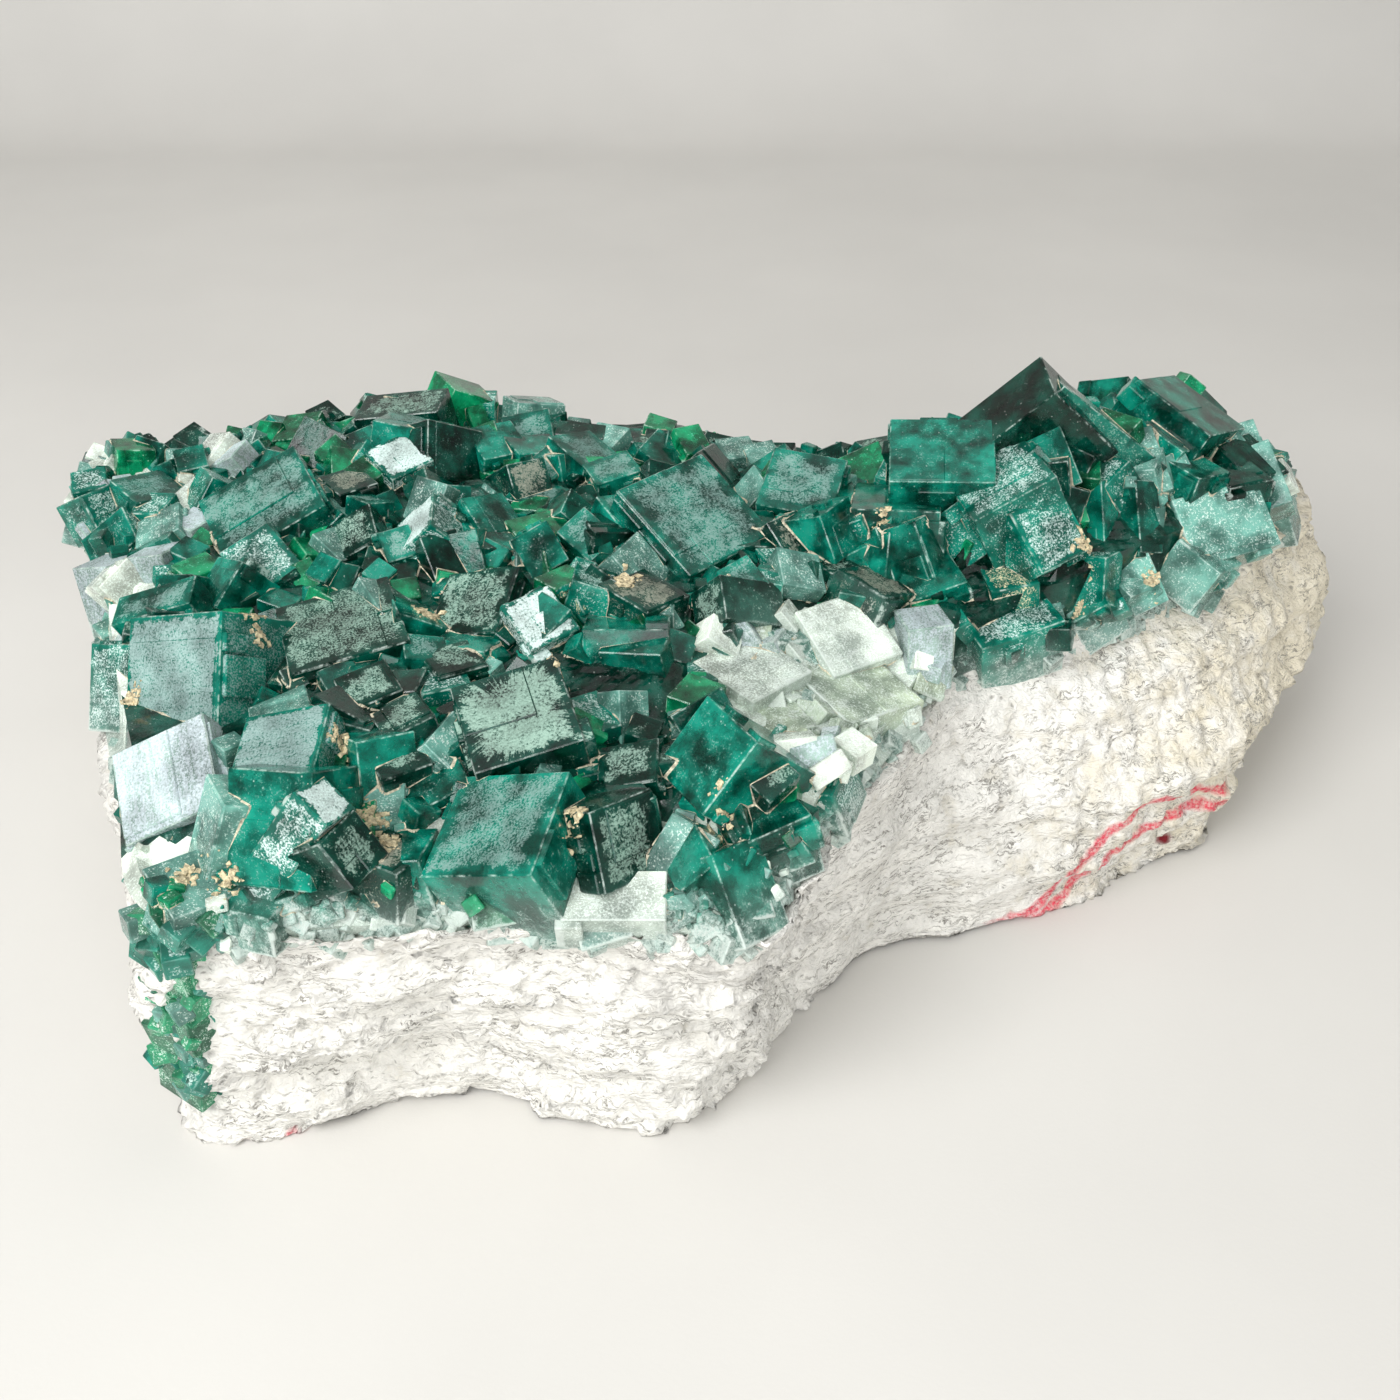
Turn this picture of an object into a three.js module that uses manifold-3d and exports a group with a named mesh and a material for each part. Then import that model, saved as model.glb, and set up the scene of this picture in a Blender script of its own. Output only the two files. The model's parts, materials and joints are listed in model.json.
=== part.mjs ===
// Cubic fluorite cluster on its white rock.
// Millimetres, +Z up. X runs along the slab, the viewer stands at -Y.
import * as THREE from "three";
import { mergeVertices } from "three/addons/utils/BufferGeometryUtils.js";
import Module from "manifold-3d";

// Driving dimensions
const BROW_HEIGHT = 70;          // top edge of the white rock above the table
const RIGHT_RISE = 5;            // how much higher that edge is at the right end
const WAIST_HEIGHT = 36;         // height at which the rock bulges most
const SEAM_GAP = 0.35;           // clearance kept between rock and crystal crust
const CRUST_TOP = 85;            // level of the crust between its crystals
const FRONT_STEP = { drop: 13, from: 76, to: 106 };  // how much lower the crust lies along the front edge
const BACK_STEP = { drop: 13, from: 45, to: 92 };    // and along the back edge
const CRUST_LIP = 1.6;           // how far the crust stands over the rock's edge
const CRUST_ROOT = 10;           // how deep the crust is keyed into the rock
const CLUSTER_MIDDLE = [7.1, 0];  // plan point of the slab that becomes the origin

// How finely the curved surfaces are laid out
const SAMPLES_PER_STATION = 2;   // mesh columns between two stations of the outline
const WALL_CLIMB = [0, 0.06, 0.16, 0.28, 0.4, 0.52, 0.64, 0.76, 0.88, 1];  // rings from foot to brow
const ROCK_TOP_RINGS = [0.93, 0.5];         // rings of the rock's hidden top, as shares of the brow's reach
const SHEET_TOP_RINGS = [0.86, 0.6, 0.3];   // rings of the crust's upper face, as shares of the brow's reach

// Shape of the rock's surface
const ROCK_DOME = 0.35;          // share of the crust's rises that the rock under it follows
const LAYER_HEIGHT = 21;         // height from one ledge of the rock to the next
const LAYER_DEPTH = 1.1;         // how far a ledge stands out
const LAYER_DIP = 1 / 14;        // fall of the layers towards the right
const GROOVE = { left: -110, height: 16, rise: 1 / 9, deep: 6, tall: 6, back: -60, right: 0 };

// Edge of the sheet under the crystals, as the reach outside the brow and the height above it
const SHEET_LIP = { out: CRUST_LIP, up: -1 };
const SHEET_BAND = { out: CRUST_LIP, up: 3.5 };
const SHEET_EDGE = { out: -4, up: 5 };
const SHEET_ROOT_REACH = 0.94;   // reach of the crust's root, as a share of the brow's
const SHEET_ROUGHNESS = 0.5;     // share of the rock's lumps that the sheet's edge shows

// Stations round the slab, from the front left corner and past the front, valley, right lobe and back.
// Each holds the plan point of the foot, of the waist and of the brow.
const STATIONS = [
  { foot: [-120, -112], waist: [-119, -113], brow: [-117, -112] },
  { foot: [-96, -118], waist: [-95, -119], brow: [-95, -118] },
  { foot: [-74, -109], waist: [-74, -114], brow: [-74, -117] },
  { foot: [-50, -105], waist: [-48, -112], brow: [-50, -114] },
  { foot: [-25, -108], waist: [-26, -114], brow: [-28, -115] },
  { foot: [1, -112], waist: [-2, -117], brow: [-4, -118] },
  { foot: [14, -99], waist: [14, -112], brow: [14, -118] },
  { foot: [24, -83], waist: [25, -92], brow: [26, -98] },
  { foot: [34, -69], waist: [36, -74], brow: [38, -78] },
  { foot: [48, -58], waist: [50, -60], brow: [52, -54] },
  { foot: [70, -50], waist: [72, -46], brow: [68, -28] },
  { foot: [90, -44], waist: [92, -38], brow: [88, -15] },
  { foot: [110, -34], waist: [116, -30], brow: [106, -8] },
  { foot: [130, -22], waist: [140, -24], brow: [124, 2] },
  { foot: [148, -12], waist: [158, -9], brow: [142, 14] },
  { foot: [160, 8], waist: [175, 16], brow: [164, 30] },
  { foot: [160, 35], waist: [200, 52], brow: [188, 60] },
  { foot: [168, 66], waist: [208, 82], brow: [193, 86] },
  { foot: [160, 88], waist: [190, 107], brow: [175, 109] },
  { foot: [130, 94], waist: [146, 116], brow: [142, 114] },
  { foot: [86, 92], waist: [96, 112], brow: [92, 108] },
  { foot: [40, 86], waist: [44, 104], brow: [40, 98] },
  { foot: [-10, 86], waist: [-10, 103], brow: [-10, 96] },
  { foot: [-60, 94], waist: [-62, 112], brow: [-64, 105] },
  { foot: [-110, 88], waist: [-116, 108], brow: [-118, 102] },
  { foot: [-158, 80], waist: [-172, 96], brow: [-170, 88] },
  { foot: [-172, 62], waist: [-188, 70], brow: [-187, 68] },
  { foot: [-162, 34], waist: [-177, 42], brow: [-182, 42] },
  { foot: [-150, 2], waist: [-163, 8], brow: [-168, 7] },
  { foot: [-139, -36], waist: [-148, -33], brow: [-153, -33] },
  { foot: [-130, -80], waist: [-134, -76], brow: [-134, -76] },
];

// Broad rises and hollows of the crust, as plan point, reach and height.
const CRUST_HILLS = [
  [105, 34, 42, 18],
  [-85, 20, 60, 9],
  [0, 12, 42, 10],
  [-60, -55, 42, 5],
  [44, -44, 26, -9],
  [150, 45, 30, 5],
  [-105, -42, 13, -12],
];

// The large crystals that read from a step away. Each row holds the middle of the outer face (x, y, z),
// the face's width and height, how far the face leans from level, the way that it leans, and its turn.
const CRYSTALS = [
  ["left silver", -122, -57, 92, 32, 33, 56, -127, 22],
  ["left dull face", -143, -45, 82, 18, 22, 60, -130, 20],
  ["left level", -89, -87, 96, 21, 21, 22, -139, 45],
  ["left window", -108, -40, 84, 15, 15, 48, -26, -34],
  ["left front block", -87, -107, 90, 21, 25, 59, -113, 11],
  ["left front side", -103, -103, 84, 14, 24, 66, -150, 4],
  ["left front silver", -74, -107, 98, 10, 10, 35, 0, -29],
  ["left front step", -68, -113, 90, 12, 12, 53, -28, 2],
  ["broad speckled", -85, -39, 97, 30, 29, 7, -145, -15],
  ["second speckled", -54, -29, 97, 21, 21, 26, -144, 40],
  ["middle silver", -36, -39, 99, 14, 15, 24, -62, 10],
  ["middle brown", -11, -26, 99, 17, 17, 12, 15, 36],
  ["narrow speckled", 5, -29, 96, 12, 13, 66, -152, -39],
  ["feathered", -38, -77, 98, 25, 25, 18, -103, 31],
  ["front grey", -40, -105, 90, 27, 27, 22, -158, -38],
  ["right front", 4, -88, 95, 20, 20, 46, -148, 0],
  ["right corner", 17, -94, 84, 16, 16, 14, 163, 39],
  ["front dark", -12, -106, 86, 18, 18, 65, -39, -13],
  ["right low", 13, -112, 76, 11, 11, 32, -41, -27],
  ["front shelf", -15, -114, 78, 22, 12, 16, -90, 0],
  ["mint hollow", -51, -79, 90, 13, 13, 45, -24, 3],
  ["middle slabs", -15, -47, 92, 21, 15, 70, -90, 0],
  ["front low", 0, -107, 82, 11, 11, 46, -139, -22],
  ["back grey", -118, 16, 101, 31, 31, 24, -134, -20],
  ["back silver", -83, 37, 105, 14, 15, 16, -78, 29],
  ["back second silver", -73, 0, 103, 15, 15, 43, -168, -9],
  ["back grey slab", -81, 55, 107, 20, 20, 20, 56, 29],
  ["back dark", -68, 43, 101, 20, 20, 65, -35, -31],
  ["skyline block", -89, 75, 104, 15, 27, 10, -155, -31],
  ["left dark", -156, 36, 96, 16, 16, 10, 10, 35],
  ["left green bump", -166, 55, 100, 11, 11, 13, 45, -15],
  ["left slab", -133, -31, 99, 10, 22, 22, -143, -35],
  ["left facets", -121, -19, 97, 13, 14, 39, -152, 25],
  ["left dark white", -112, -9, 98, 15, 16, 33, -79, 32],
  ["streaked", -90, 1, 100, 14, 14, 33, -133, -32],
  ["grey green back", -96, 28, 102, 12, 13, 2, -71, 19],
  ["knot back", -74, -63, 96, 13, 13, 9, -119, -32],
  ["knot middle", -64, -75, 96, 12, 12, 12, -172, 22],
  ["knot front", -64, -84, 92, 12, 12, 12, -59, 0],
  ["olive slab", -62, -107, 84, 13, 13, 11, 69, -8],
  ["great middle", 2, 5, 104, 31, 32, 25, -50, 3],
  ["great neighbour", 31, 19, 106, 21, 21, 23, -99, -8],
  ["back brown", -45, 31, 100, 12, 12, 55, -54, -5],
  ["back middle", -57, 54, 102, 15, 16, 12, -53, -8],
  ["slanted back", -30, 48, 102, 17, 17, 20, -3, -41],
  ["dark ridge", -33, 63, 101, 15, 8, 7, -65, -31],
  ["slanted front", -22, 34, 103, 13, 14, 8, -142, -15],
  ["corner tip", -21, 3, 102, 14, 14, 14, 46, -22],
  ["facets back", -53, 10, 101, 14, 14, 29, -25, -26],
  ["facets front", -39, -8, 100, 11, 12, 54, -90, 30],
  ["emerald", -8, -4, 97, 13, 13, 26, -22, -23],
  ["grey teal", 14, -20, 99, 10, 10, 29, -73, 21],
  ["mixed", 28, 2, 99, 11, 12, 36, -53, 2],
  ["dark gap", 10, 34, 102, 16, 17, 44, -1, -22],
  ["pale back top", 14, 51, 101, 11, 11, 8, -57, -16],
  ["skyline middle", -50, 91, 98, 15, 16, 18, 70, -45],
  ["flat top", 68, 16, 117, 28, 23, 21, -103, 7],
  ["apex light", 92, 32, 123, 22, 22, 53, -176, 5],
  ["apex dark", 106, 27, 125, 17, 30, 45, -8, 17],
  ["right peak", 145, 50, 115, 27, 27, 24, -6, -38],
  ["crest triangle", 82, 8, 113, 24, 24, 27, -165, -3],
  ["crest frosted", 95, -5, 104, 18, 18, 44, -64, 10],
  ["crest dark", 107, 30, 114, 20, 21, 19, 22, 33],
  ["first bar", 115, 11, 100, 9, 19, 66, -37, -22],
  ["second bar", 126, 12, 99, 10, 20, 59, -46, -21],
  ["right mint", 150, 18, 94, 28, 20, 42, -75, 6],
  ["right dark", 156, 32, 102, 13, 14, 4, -135, -28],
  ["right upper dark", 162, 40, 103, 15, 16, 22, -53, -1],
  ["right white end", 176, 43, 96, 9, 8, 52, -16, 37],
  ["small emerald", 121, 2, 86, 11, 12, 15, -69, 10],
  ["low bars", 107, -4, 84, 12, 12, 59, -150, -35],
  ["valley teal", 67, 1, 97, 17, 17, 59, -30, -10],
  ["valley dark", 57, 16, 103, 24, 24, 10, 94, -13],
  ["valley white", 81, 8, 101, 15, 16, 45, -9, -25],
  ["valley frosted", 84, -11, 84, 23, 24, 13, -128, -34],
  ["valley small", 41, 1, 101, 14, 14, 65, -38, 1],
  ["valley brown", 50, -12, 93, 17, 18, 21, 27, 19],
  ["pale olive", 16, -44, 88, 21, 21, 5, -14, -32],
  ["pale white", 41, -29, 88, 21, 21, 24, -61, 0],
  ["pale green", 42, -43, 82, 25, 24, 8, -4, 37],
  ["pale grey", 47, -44, 78, 15, 15, 11, 146, -31],
  ["pale left", 19, -58, 84, 18, 18, 7, 73, 37],
  ["silky left", -117, -84, 85, 24, 24, 34, -120, -45],
  ["left edge step", -109, -95, 72, 12, 12, 57, -38, -19],
  ["left edge low", -118, -92, 62, 13, 13, 56, -52, -7],
  ["pale left edge", -148, -10, 90, 11, 11, 62, -44, 24],
  ["white left edge", -167, 31, 91, 13, 13, 61, -27, -5],
  ["pale left back", -148, 16, 94, 13, 14, 25, -147, -19],
  ["speckled low", -56, -51, 95, 13, 13, 3, 31, 0],
  ["middle step", -13, -46, 96, 8, 16, 9, -161, -34],
  ["right speckled teal", -13, -85, 90, 13, 14, 17, -149, -32],
  ["valley middle teal", 63, -6, 92, 17, 17, 16, -136, -29],
  ["rusty knot", 85, -6, 92, 14, 13, 10, -153, -20],
  ["inner right", 138, 40, 110, 16, 15, 24, -1, -44],
  ["inner right low", 142, 30, 106, 15, 14, 9, 8, 26],
  ["low mint", 145, 12, 88, 15, 15, 22, -12, -33],
  ["green skyline", -72, 97, 100, 16, 17, 29, 28, 4],
];

// Smaller crystals that fill the gaps, and the rows that face out round the crust's rim
const BACK_FILL = { count: 36, size: [16, 27], south: 48, north: 118 };
const GAP_FILL = { count: 14, size: [12, 17], south: -105, north: 48 };
const BACK_RIM = { first: 17, last: 27, count: 15, size: [15, 26], low: 6, high: 20 };
const FRONT_RIM = { first: 0, last: 15, count: 17, size: [9, 15], low: 3, high: 13 };
const VEIN_STEPS = 6;            // blocks of the green vein that runs down the front left corner
const VEIN_TOP = [-111.5, -115, 72];
const VEIN_FOOT = [-118.5, -115.3, 20];
const VEIN_SIZE = [16, 14];
const SIGHT = new THREE.Vector3(0, -0.81, 0.59);  // the way that the large faces look out
const FILL_REACH = { x: 205, margin: 0.95 };      // the fill's half width, and its share of the brow's reach
const FILL_STAND = 0.45;         // share of its size that a fill crystal stands out of the crust
const ROOTING = 3;               // how far a crystal goes on below the crust's surface
const SHEET_HOLD = 4;            // how far a flat crystal may reach below the rock's brow
const LEAST_DEEP = 0.6;          // its least depth, as a share of a cube's

// The crust's skyline, seen from a point in front of it: heights where the sight lines cross a line along X
const EYE = { x: 3, y: -328, z: 284 };
const SKYLINE_Y = 60;
const SKYLINE = [
  [-200, 86], [-191, 94], [-171, 102], [-138, 104], [-116, 110], [-97, 116], [-67, 118], [-50, 113],
  [-36, 108], [-21, 103], [3, 103], [21, 98], [60, 99], [62, 108], [80, 108], [102, 126],
  [123, 117], [132, 121], [146, 124], [166, 109], [177, 96], [189, 79], [204, 57],
];
const SINK_MOST = 14;            // a small crystal that would have to sink further is left out

// Steps of even sequences that never repeat, one for each measure of a small crystal
const STEP = {
  x: 0.7548776662, y: 0.5698402910, size: 0.6180339887,
  lean: 0.4142135624, toward: 0.7320508076, turn: 0.2360679775,
};

const degrees = THREE.MathUtils.degToRad;
const wasm = await Module();
wasm.setup();

function fraction(value) {
  return value - Math.floor(value);
}

// Smooth lumps of the broken rock, from a few crossed waves
function lumps(x, y, z) {
  const broad = Math.sin(x / 17 + y / 31) * Math.sin(y / 19 - z / 23 + 1.3);
  const middle = Math.sin(x / 9 - z / 11 + 0.7) * Math.sin(y / 8 + z / 13);
  const small = Math.sin(x / 4.3 + z / 5.1) * Math.sin(y / 4.7 - z / 3.9 + 2.1);
  return 2.2 * broad + 1.3 * middle + 0.7 * small;
}

// Ledges of the rock's layers, which dip gently to the right
function ledges(x, y, z) {
  const phase = (2 * Math.PI * (z + x * LAYER_DIP)) / LAYER_HEIGHT;
  const layer = Math.sin(phase + 0.6 * Math.sin(x / 37 + y / 29));
  return LAYER_DEPTH * Math.sign(layer) * Math.sqrt(Math.abs(layer));
}

// The hollow that runs low along the front left wall
function groove(x, y, z) {
  if (y > GROOVE.back || x > GROOVE.right) {
    return 0;
  }
  const level = GROOVE.height + (x - GROOVE.left) * GROOVE.rise;
  const along = THREE.MathUtils.smoothstep(-x, 20, 60);
  return GROOVE.deep * along * Math.exp(-(((z - level) / GROOVE.tall) ** 2));
}

function crustLevel(x, y) {
  let level = CRUST_TOP + 1.4 * Math.sin(x / 11 + y / 7) * Math.sin(y / 9 - x / 17);
  level -= FRONT_STEP.drop * THREE.MathUtils.smoothstep(-y, FRONT_STEP.from, FRONT_STEP.to);
  level -= BACK_STEP.drop * THREE.MathUtils.smoothstep(y, BACK_STEP.from, BACK_STEP.to);
  for (const [hillX, hillY, reach, height] of CRUST_HILLS) {
    const distance = Math.hypot(x - hillX, y - hillY) / reach;
    level += height * Math.exp(-distance * distance);
  }
  return level;
}

// A closed curve through one plan point of every station
function outline(pointOf) {
  const points = STATIONS.map((station) => new THREE.Vector3(...pointOf(station)));
  const curve = new THREE.CatmullRomCurve3(points, true, "centripetal");
  const count = STATIONS.length * SAMPLES_PER_STATION;
  return Array.from({ length: count }, (_, i) => curve.getPoint(i / count));
}

// Moves a ring outward in plan by the distance that a function gives for each point
function pushed(ring, distanceOf) {
  return ring.map((point, i) => {
    const before = ring[(i + ring.length - 1) % ring.length];
    const after = ring[(i + 1) % ring.length];
    const out = new THREE.Vector3(after.y - before.y, before.x - after.x, 0).normalize();
    return point.clone().addScaledVector(out, distanceOf(point));
  });
}

// Skins rings of equal length, given from the lowest to the highest, with a fan over each end
function skin(rings, lowCentre, highCentre) {
  const count = rings[0].length;
  const vertices = rings.flat();
  const low = vertices.length;
  vertices.push(lowCentre, highCentre);
  const triangles = [];
  for (let i = 0; i < count; i += 1) {
    const next = (i + 1) % count;
    triangles.push(low, next, i);
    triangles.push(low + 1, (rings.length - 1) * count + i, (rings.length - 1) * count + next);
    for (let level = 0; level < rings.length - 1; level += 1) {
      const here = level * count;
      const above = here + count;
      triangles.push(here + i, here + next, above + next);
      triangles.push(here + i, above + next, above + i);
    }
  }
  const geometry = new THREE.BufferGeometry();
  const flat = vertices.flatMap((vertex) => vertex.toArray());
  geometry.setAttribute("position", new THREE.Float32BufferAttribute(flat, 3));
  geometry.setIndex(triangles);
  return geometry;
}

// A ring drawn in towards the slab's middle, at the height that a function gives for each plan point
function towardMiddle(ring, share, heightOf) {
  return ring.map((point) => {
    const x = point.x * share;
    const y = point.y * share;
    return new THREE.Vector3(x, y, heightOf(x, y));
  });
}

function browLevel(x) {
  return BROW_HEIGHT + RIGHT_RISE * THREE.MathUtils.smoothstep(x, 90, 180);
}

function browRing() {
  return outline((station) => [...station.brow, browLevel(station.brow[0])]);
}

// The white rock: a wall from foot to brow, then its hidden top under the crust
function rockGeometry() {
  const foot = outline((station) => [...station.foot, 0]);
  const waist = outline((station) => [...station.waist, WAIST_HEIGHT]);
  const brow = browRing();
  const walls = WALL_CLIMB.map((share) => {
    const ring = foot.map((point, i) => {
      const climb = new THREE.CatmullRomCurve3([point, waist[i], brow[i]]);
      return climb.getPoint(share);
    });
    return pushed(ring, (p) => lumps(p.x, p.y, p.z) + ledges(p.x, p.y, p.z) - groove(p.x, p.y, p.z));
  });
  const topOf = (x, y) => browLevel(x) + ROCK_DOME * (crustLevel(x, y) - CRUST_TOP);
  const tops = ROCK_TOP_RINGS.map((share) => towardMiddle(brow, share, topOf));
  const lowCentre = new THREE.Vector3(0, 0, 0);
  const highCentre = new THREE.Vector3(0, 0, topOf(0, 0));
  return skin([...walls, ...tops], lowCentre, highCentre);
}

// A copy of a closed surface that stands off from it by a small distance
function grown(geometry, distance) {
  geometry.computeVertexNormals();
  const { position, normal } = geometry.attributes;
  for (let i = 0; i < position.count; i += 1) {
    const out = new THREE.Vector3().fromBufferAttribute(normal, i).multiplyScalar(distance);
    out.add(new THREE.Vector3().fromBufferAttribute(position, i));
    position.setXYZ(i, out.x, out.y, out.z);
  }
  return geometry;
}

// The sheet of massive fluorite that the crystals stand on
function sheetGeometry() {
  const brow = browRing();
  const uneven = (x, y, z) => SHEET_ROUGHNESS * lumps(x, y, z);
  const lift = (ring, up) => ring.map((p) => p.clone().setZ(browLevel(p.x) + up + uneven(p.x, p.y, up)));
  const root = lift(towardMiddle(brow, SHEET_ROOT_REACH, () => 0), -CRUST_ROOT);
  const lip = lift(pushed(brow, () => SHEET_LIP.out), SHEET_LIP.up);
  const band = lift(pushed(brow, (p) => SHEET_BAND.out + uneven(p.y, p.x, SHEET_BAND.up)), SHEET_BAND.up);
  const edge = lift(pushed(brow, () => SHEET_EDGE.out), SHEET_EDGE.up);
  const tops = SHEET_TOP_RINGS.map((share) => towardMiddle(brow, share, crustLevel));
  const lowCentre = new THREE.Vector3(0, 0, BROW_HEIGHT - CRUST_ROOT);
  const highCentre = new THREE.Vector3(0, 0, crustLevel(0, 0));
  return skin([root, lip, band, edge, ...tops], lowCentre, highCentre);
}

// The turn that carries a level face with its sides along X and Y to the lean, heading and turn given
function facing(lean, toward, turn) {
  const tilt = degrees(lean);
  const heading = degrees(toward);
  const normal = new THREE.Vector3().setFromSphericalCoords(1, tilt, heading);
  normal.set(normal.z, normal.x, normal.y);
  const level = new THREE.Vector3(-Math.sin(heading), Math.cos(heading), 0);
  const rise = new THREE.Vector3().crossVectors(normal, level);
  const along = level.multiplyScalar(Math.cos(degrees(turn))).addScaledVector(rise, Math.sin(degrees(turn)));
  const across = new THREE.Vector3().crossVectors(normal, along);
  return { along, across, normal };
}

// A crystal as its face's middle, axes and sizes. It is deep enough to be rooted in the crust, which it
// doesn't pass right through.
function crystal(x, y, z, wide, high, lean, toward, turn) {
  const axes = facing(lean, toward, turn);
  const slope = Math.max(axes.normal.z, 0.5);
  const rooted = (z - crustLevel(x, y) + ROOTING) / slope;
  const through = (z - browLevel(x) + SHEET_HOLD) / slope;
  const cube = (wide + high) / 2;
  const deep = Math.max(Math.min(cube, Math.max(through, LEAST_DEEP * cube)), rooted);
  return { middle: new THREE.Vector3(x, y, z), wide, high, deep, ...axes };
}

function crystalGeometry(one) {
  const box = new THREE.BoxGeometry(one.wide, one.high, one.deep);
  const place = new THREE.Matrix4().makeBasis(one.along, one.across, one.normal);
  place.setPosition(one.middle.clone().addScaledVector(one.normal, -one.deep / 2));
  return box.applyMatrix4(place);
}

function corners(one) {
  const list = [];
  for (const side of [-0.5, 0.5]) {
    for (const end of [-0.5, 0.5]) {
      for (const below of [0, 1]) {
        const corner = one.middle.clone().addScaledVector(one.along, side * one.wide);
        corner.addScaledVector(one.across, end * one.high).addScaledVector(one.normal, -below * one.deep);
        list.push(corner);
      }
    }
  }
  return list;
}

// Whether a point stands in front of the outer face of a large crystal
function hides(point, large) {
  const slope = SIGHT.dot(large.normal);
  const above = point.clone().sub(large.middle).dot(large.normal);
  if (slope < 0.05 || above < 0.3) {
    return false;
  }
  const foot = point.clone().addScaledVector(SIGHT, -above / slope).sub(large.middle);
  const inWidth = Math.abs(foot.dot(large.along)) < large.wide / 2;
  const inHeight = Math.abs(foot.dot(large.across)) < large.high / 2;
  return inWidth && inHeight;
}

// Height over a plan point that the skyline allows
function skylineLevel(x, y) {
  const far = (y - EYE.y) / (SKYLINE_Y - EYE.y);
  const at = EYE.x + (x - EYE.x) / far;
  const found = SKYLINE.findIndex(([place]) => place > at);
  const end = found === -1 ? SKYLINE.length - 1 : Math.max(found, 1);
  const [[fromX, fromZ], [toX, toZ]] = [SKYLINE[end - 1], SKYLINE[end]];
  const share = THREE.MathUtils.clamp((at - fromX) / (toX - fromX), 0, 1);
  return EYE.z - (EYE.z - THREE.MathUtils.lerp(fromZ, toZ, share)) * far;
}

// Lowers a crystal until no corner of it stands above the skyline, and tells whether that was a short way
function sinks(one) {
  const excess = corners(one).map((corner) => corner.z - skylineLevel(corner.x, corner.y));
  const drop = Math.max(0, ...excess);
  one.middle.z -= drop;
  return drop <= SINK_MOST;
}

function standsClear(one, largeOnes) {
  const points = [one.middle, ...corners(one)];
  return !largeOnes.some((large) => points.some((point) => hides(point, large)));
}

function insideBrow(x, y, margin) {
  const ring = STATIONS.map((station) => station.brow.map((value) => value * margin));
  let inside = false;
  ring.forEach(([ax, ay], i) => {
    const [bx, by] = ring[(i + 1) % ring.length];
    if (ay > y !== by > y && x < ((bx - ax) * (y - ay)) / (by - ay) + ax) {
      inside = !inside;
    }
  });
  return inside;
}

// Small crystals spread evenly over the crust, left out where they would hide a large face
function fillCrystals(fill, largeOnes) {
  const list = [];
  for (let i = 1; i <= fill.count; i += 1) {
    const x = THREE.MathUtils.lerp(-FILL_REACH.x, FILL_REACH.x, fraction(0.5 + i * STEP.x));
    const y = THREE.MathUtils.lerp(fill.south, fill.north, fraction(0.5 + i * STEP.y));
    const size = THREE.MathUtils.lerp(fill.size[0], fill.size[1], fraction(i * STEP.size));
    const lean = 8 + 40 * fraction(i * STEP.lean);
    const toward = 360 * fraction(i * STEP.toward);
    const turn = 90 * fraction(i * STEP.turn);
    if (insideBrow(x, y, FILL_REACH.margin)) {
      const one = crystal(x, y, crustLevel(x, y) + FILL_STAND * size, size, size, lean, toward, turn);
      if (sinks(one) && standsClear(one, largeOnes)) {
        list.push(one);
      }
    }
  }
  return list;
}

// Crystals that face outward along a stretch of the crust's rim
function rimCrystals(rim, largeOnes) {
  const points = STATIONS.map((station) => new THREE.Vector3(...station.brow, 0));
  const curve = new THREE.CatmullRomCurve3(points, true, "centripetal");
  const list = [];
  for (let i = 0; i < rim.count; i += 1) {
    const share = (rim.first + ((rim.last - rim.first) * i) / rim.count) / STATIONS.length;
    const at = curve.getPoint(share);
    const along = curve.getPoint(share + 0.002).sub(at);
    const out = Math.atan2(-along.x, along.y);
    const size = THREE.MathUtils.lerp(rim.size[0], rim.size[1], fraction(0.3 + i * STEP.size));
    const lean = 42 + 40 * fraction(i * STEP.lean);
    const toward = THREE.MathUtils.radToDeg(out) + 60 * (fraction(i * STEP.toward) - 0.5);
    const turn = 90 * fraction(i * STEP.turn);
    const height = browLevel(at.x) + THREE.MathUtils.lerp(rim.low, rim.high, fraction(0.2 + i * STEP.y));
    const one = crystal(at.x, at.y, height, size, size, lean, toward, turn);
    if (sinks(one) && standsClear(one, largeOnes)) {
      list.push(one);
    }
  }
  return list;
}

// Overlapping blocks of the vein, from the crust down the front left corner almost to the foot
function veinBlocks() {
  const top = new THREE.Vector3(...VEIN_TOP);
  const foot = new THREE.Vector3(...VEIN_FOOT);
  return Array.from({ length: VEIN_STEPS }, (_, i) => {
    const share = i / (VEIN_STEPS - 1);
    const at = top.clone().lerp(foot, share);
    const size = THREE.MathUtils.lerp(VEIN_SIZE[0], VEIN_SIZE[1], share);
    const lean = 84 + 12 * fraction(i * STEP.lean);
    const toward = -140 + 30 * fraction(i * STEP.toward);
    const turn = 20 * fraction(i * STEP.turn) - 10;
    return { middle: at, wide: size, high: size, deep: size, ...facing(lean, toward, turn) };
  });
}

function solidOf(geometry) {
  geometry.deleteAttribute("normal");
  geometry.deleteAttribute("uv");
  const merged = mergeVertices(geometry, 1e-4);
  const vertProperties = new Float32Array(merged.attributes.position.array);
  const triVerts = new Uint32Array(merged.index.array);
  return new wasm.Manifold(new wasm.Mesh({ numProp: 3, vertProperties, triVerts }));
}

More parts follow.
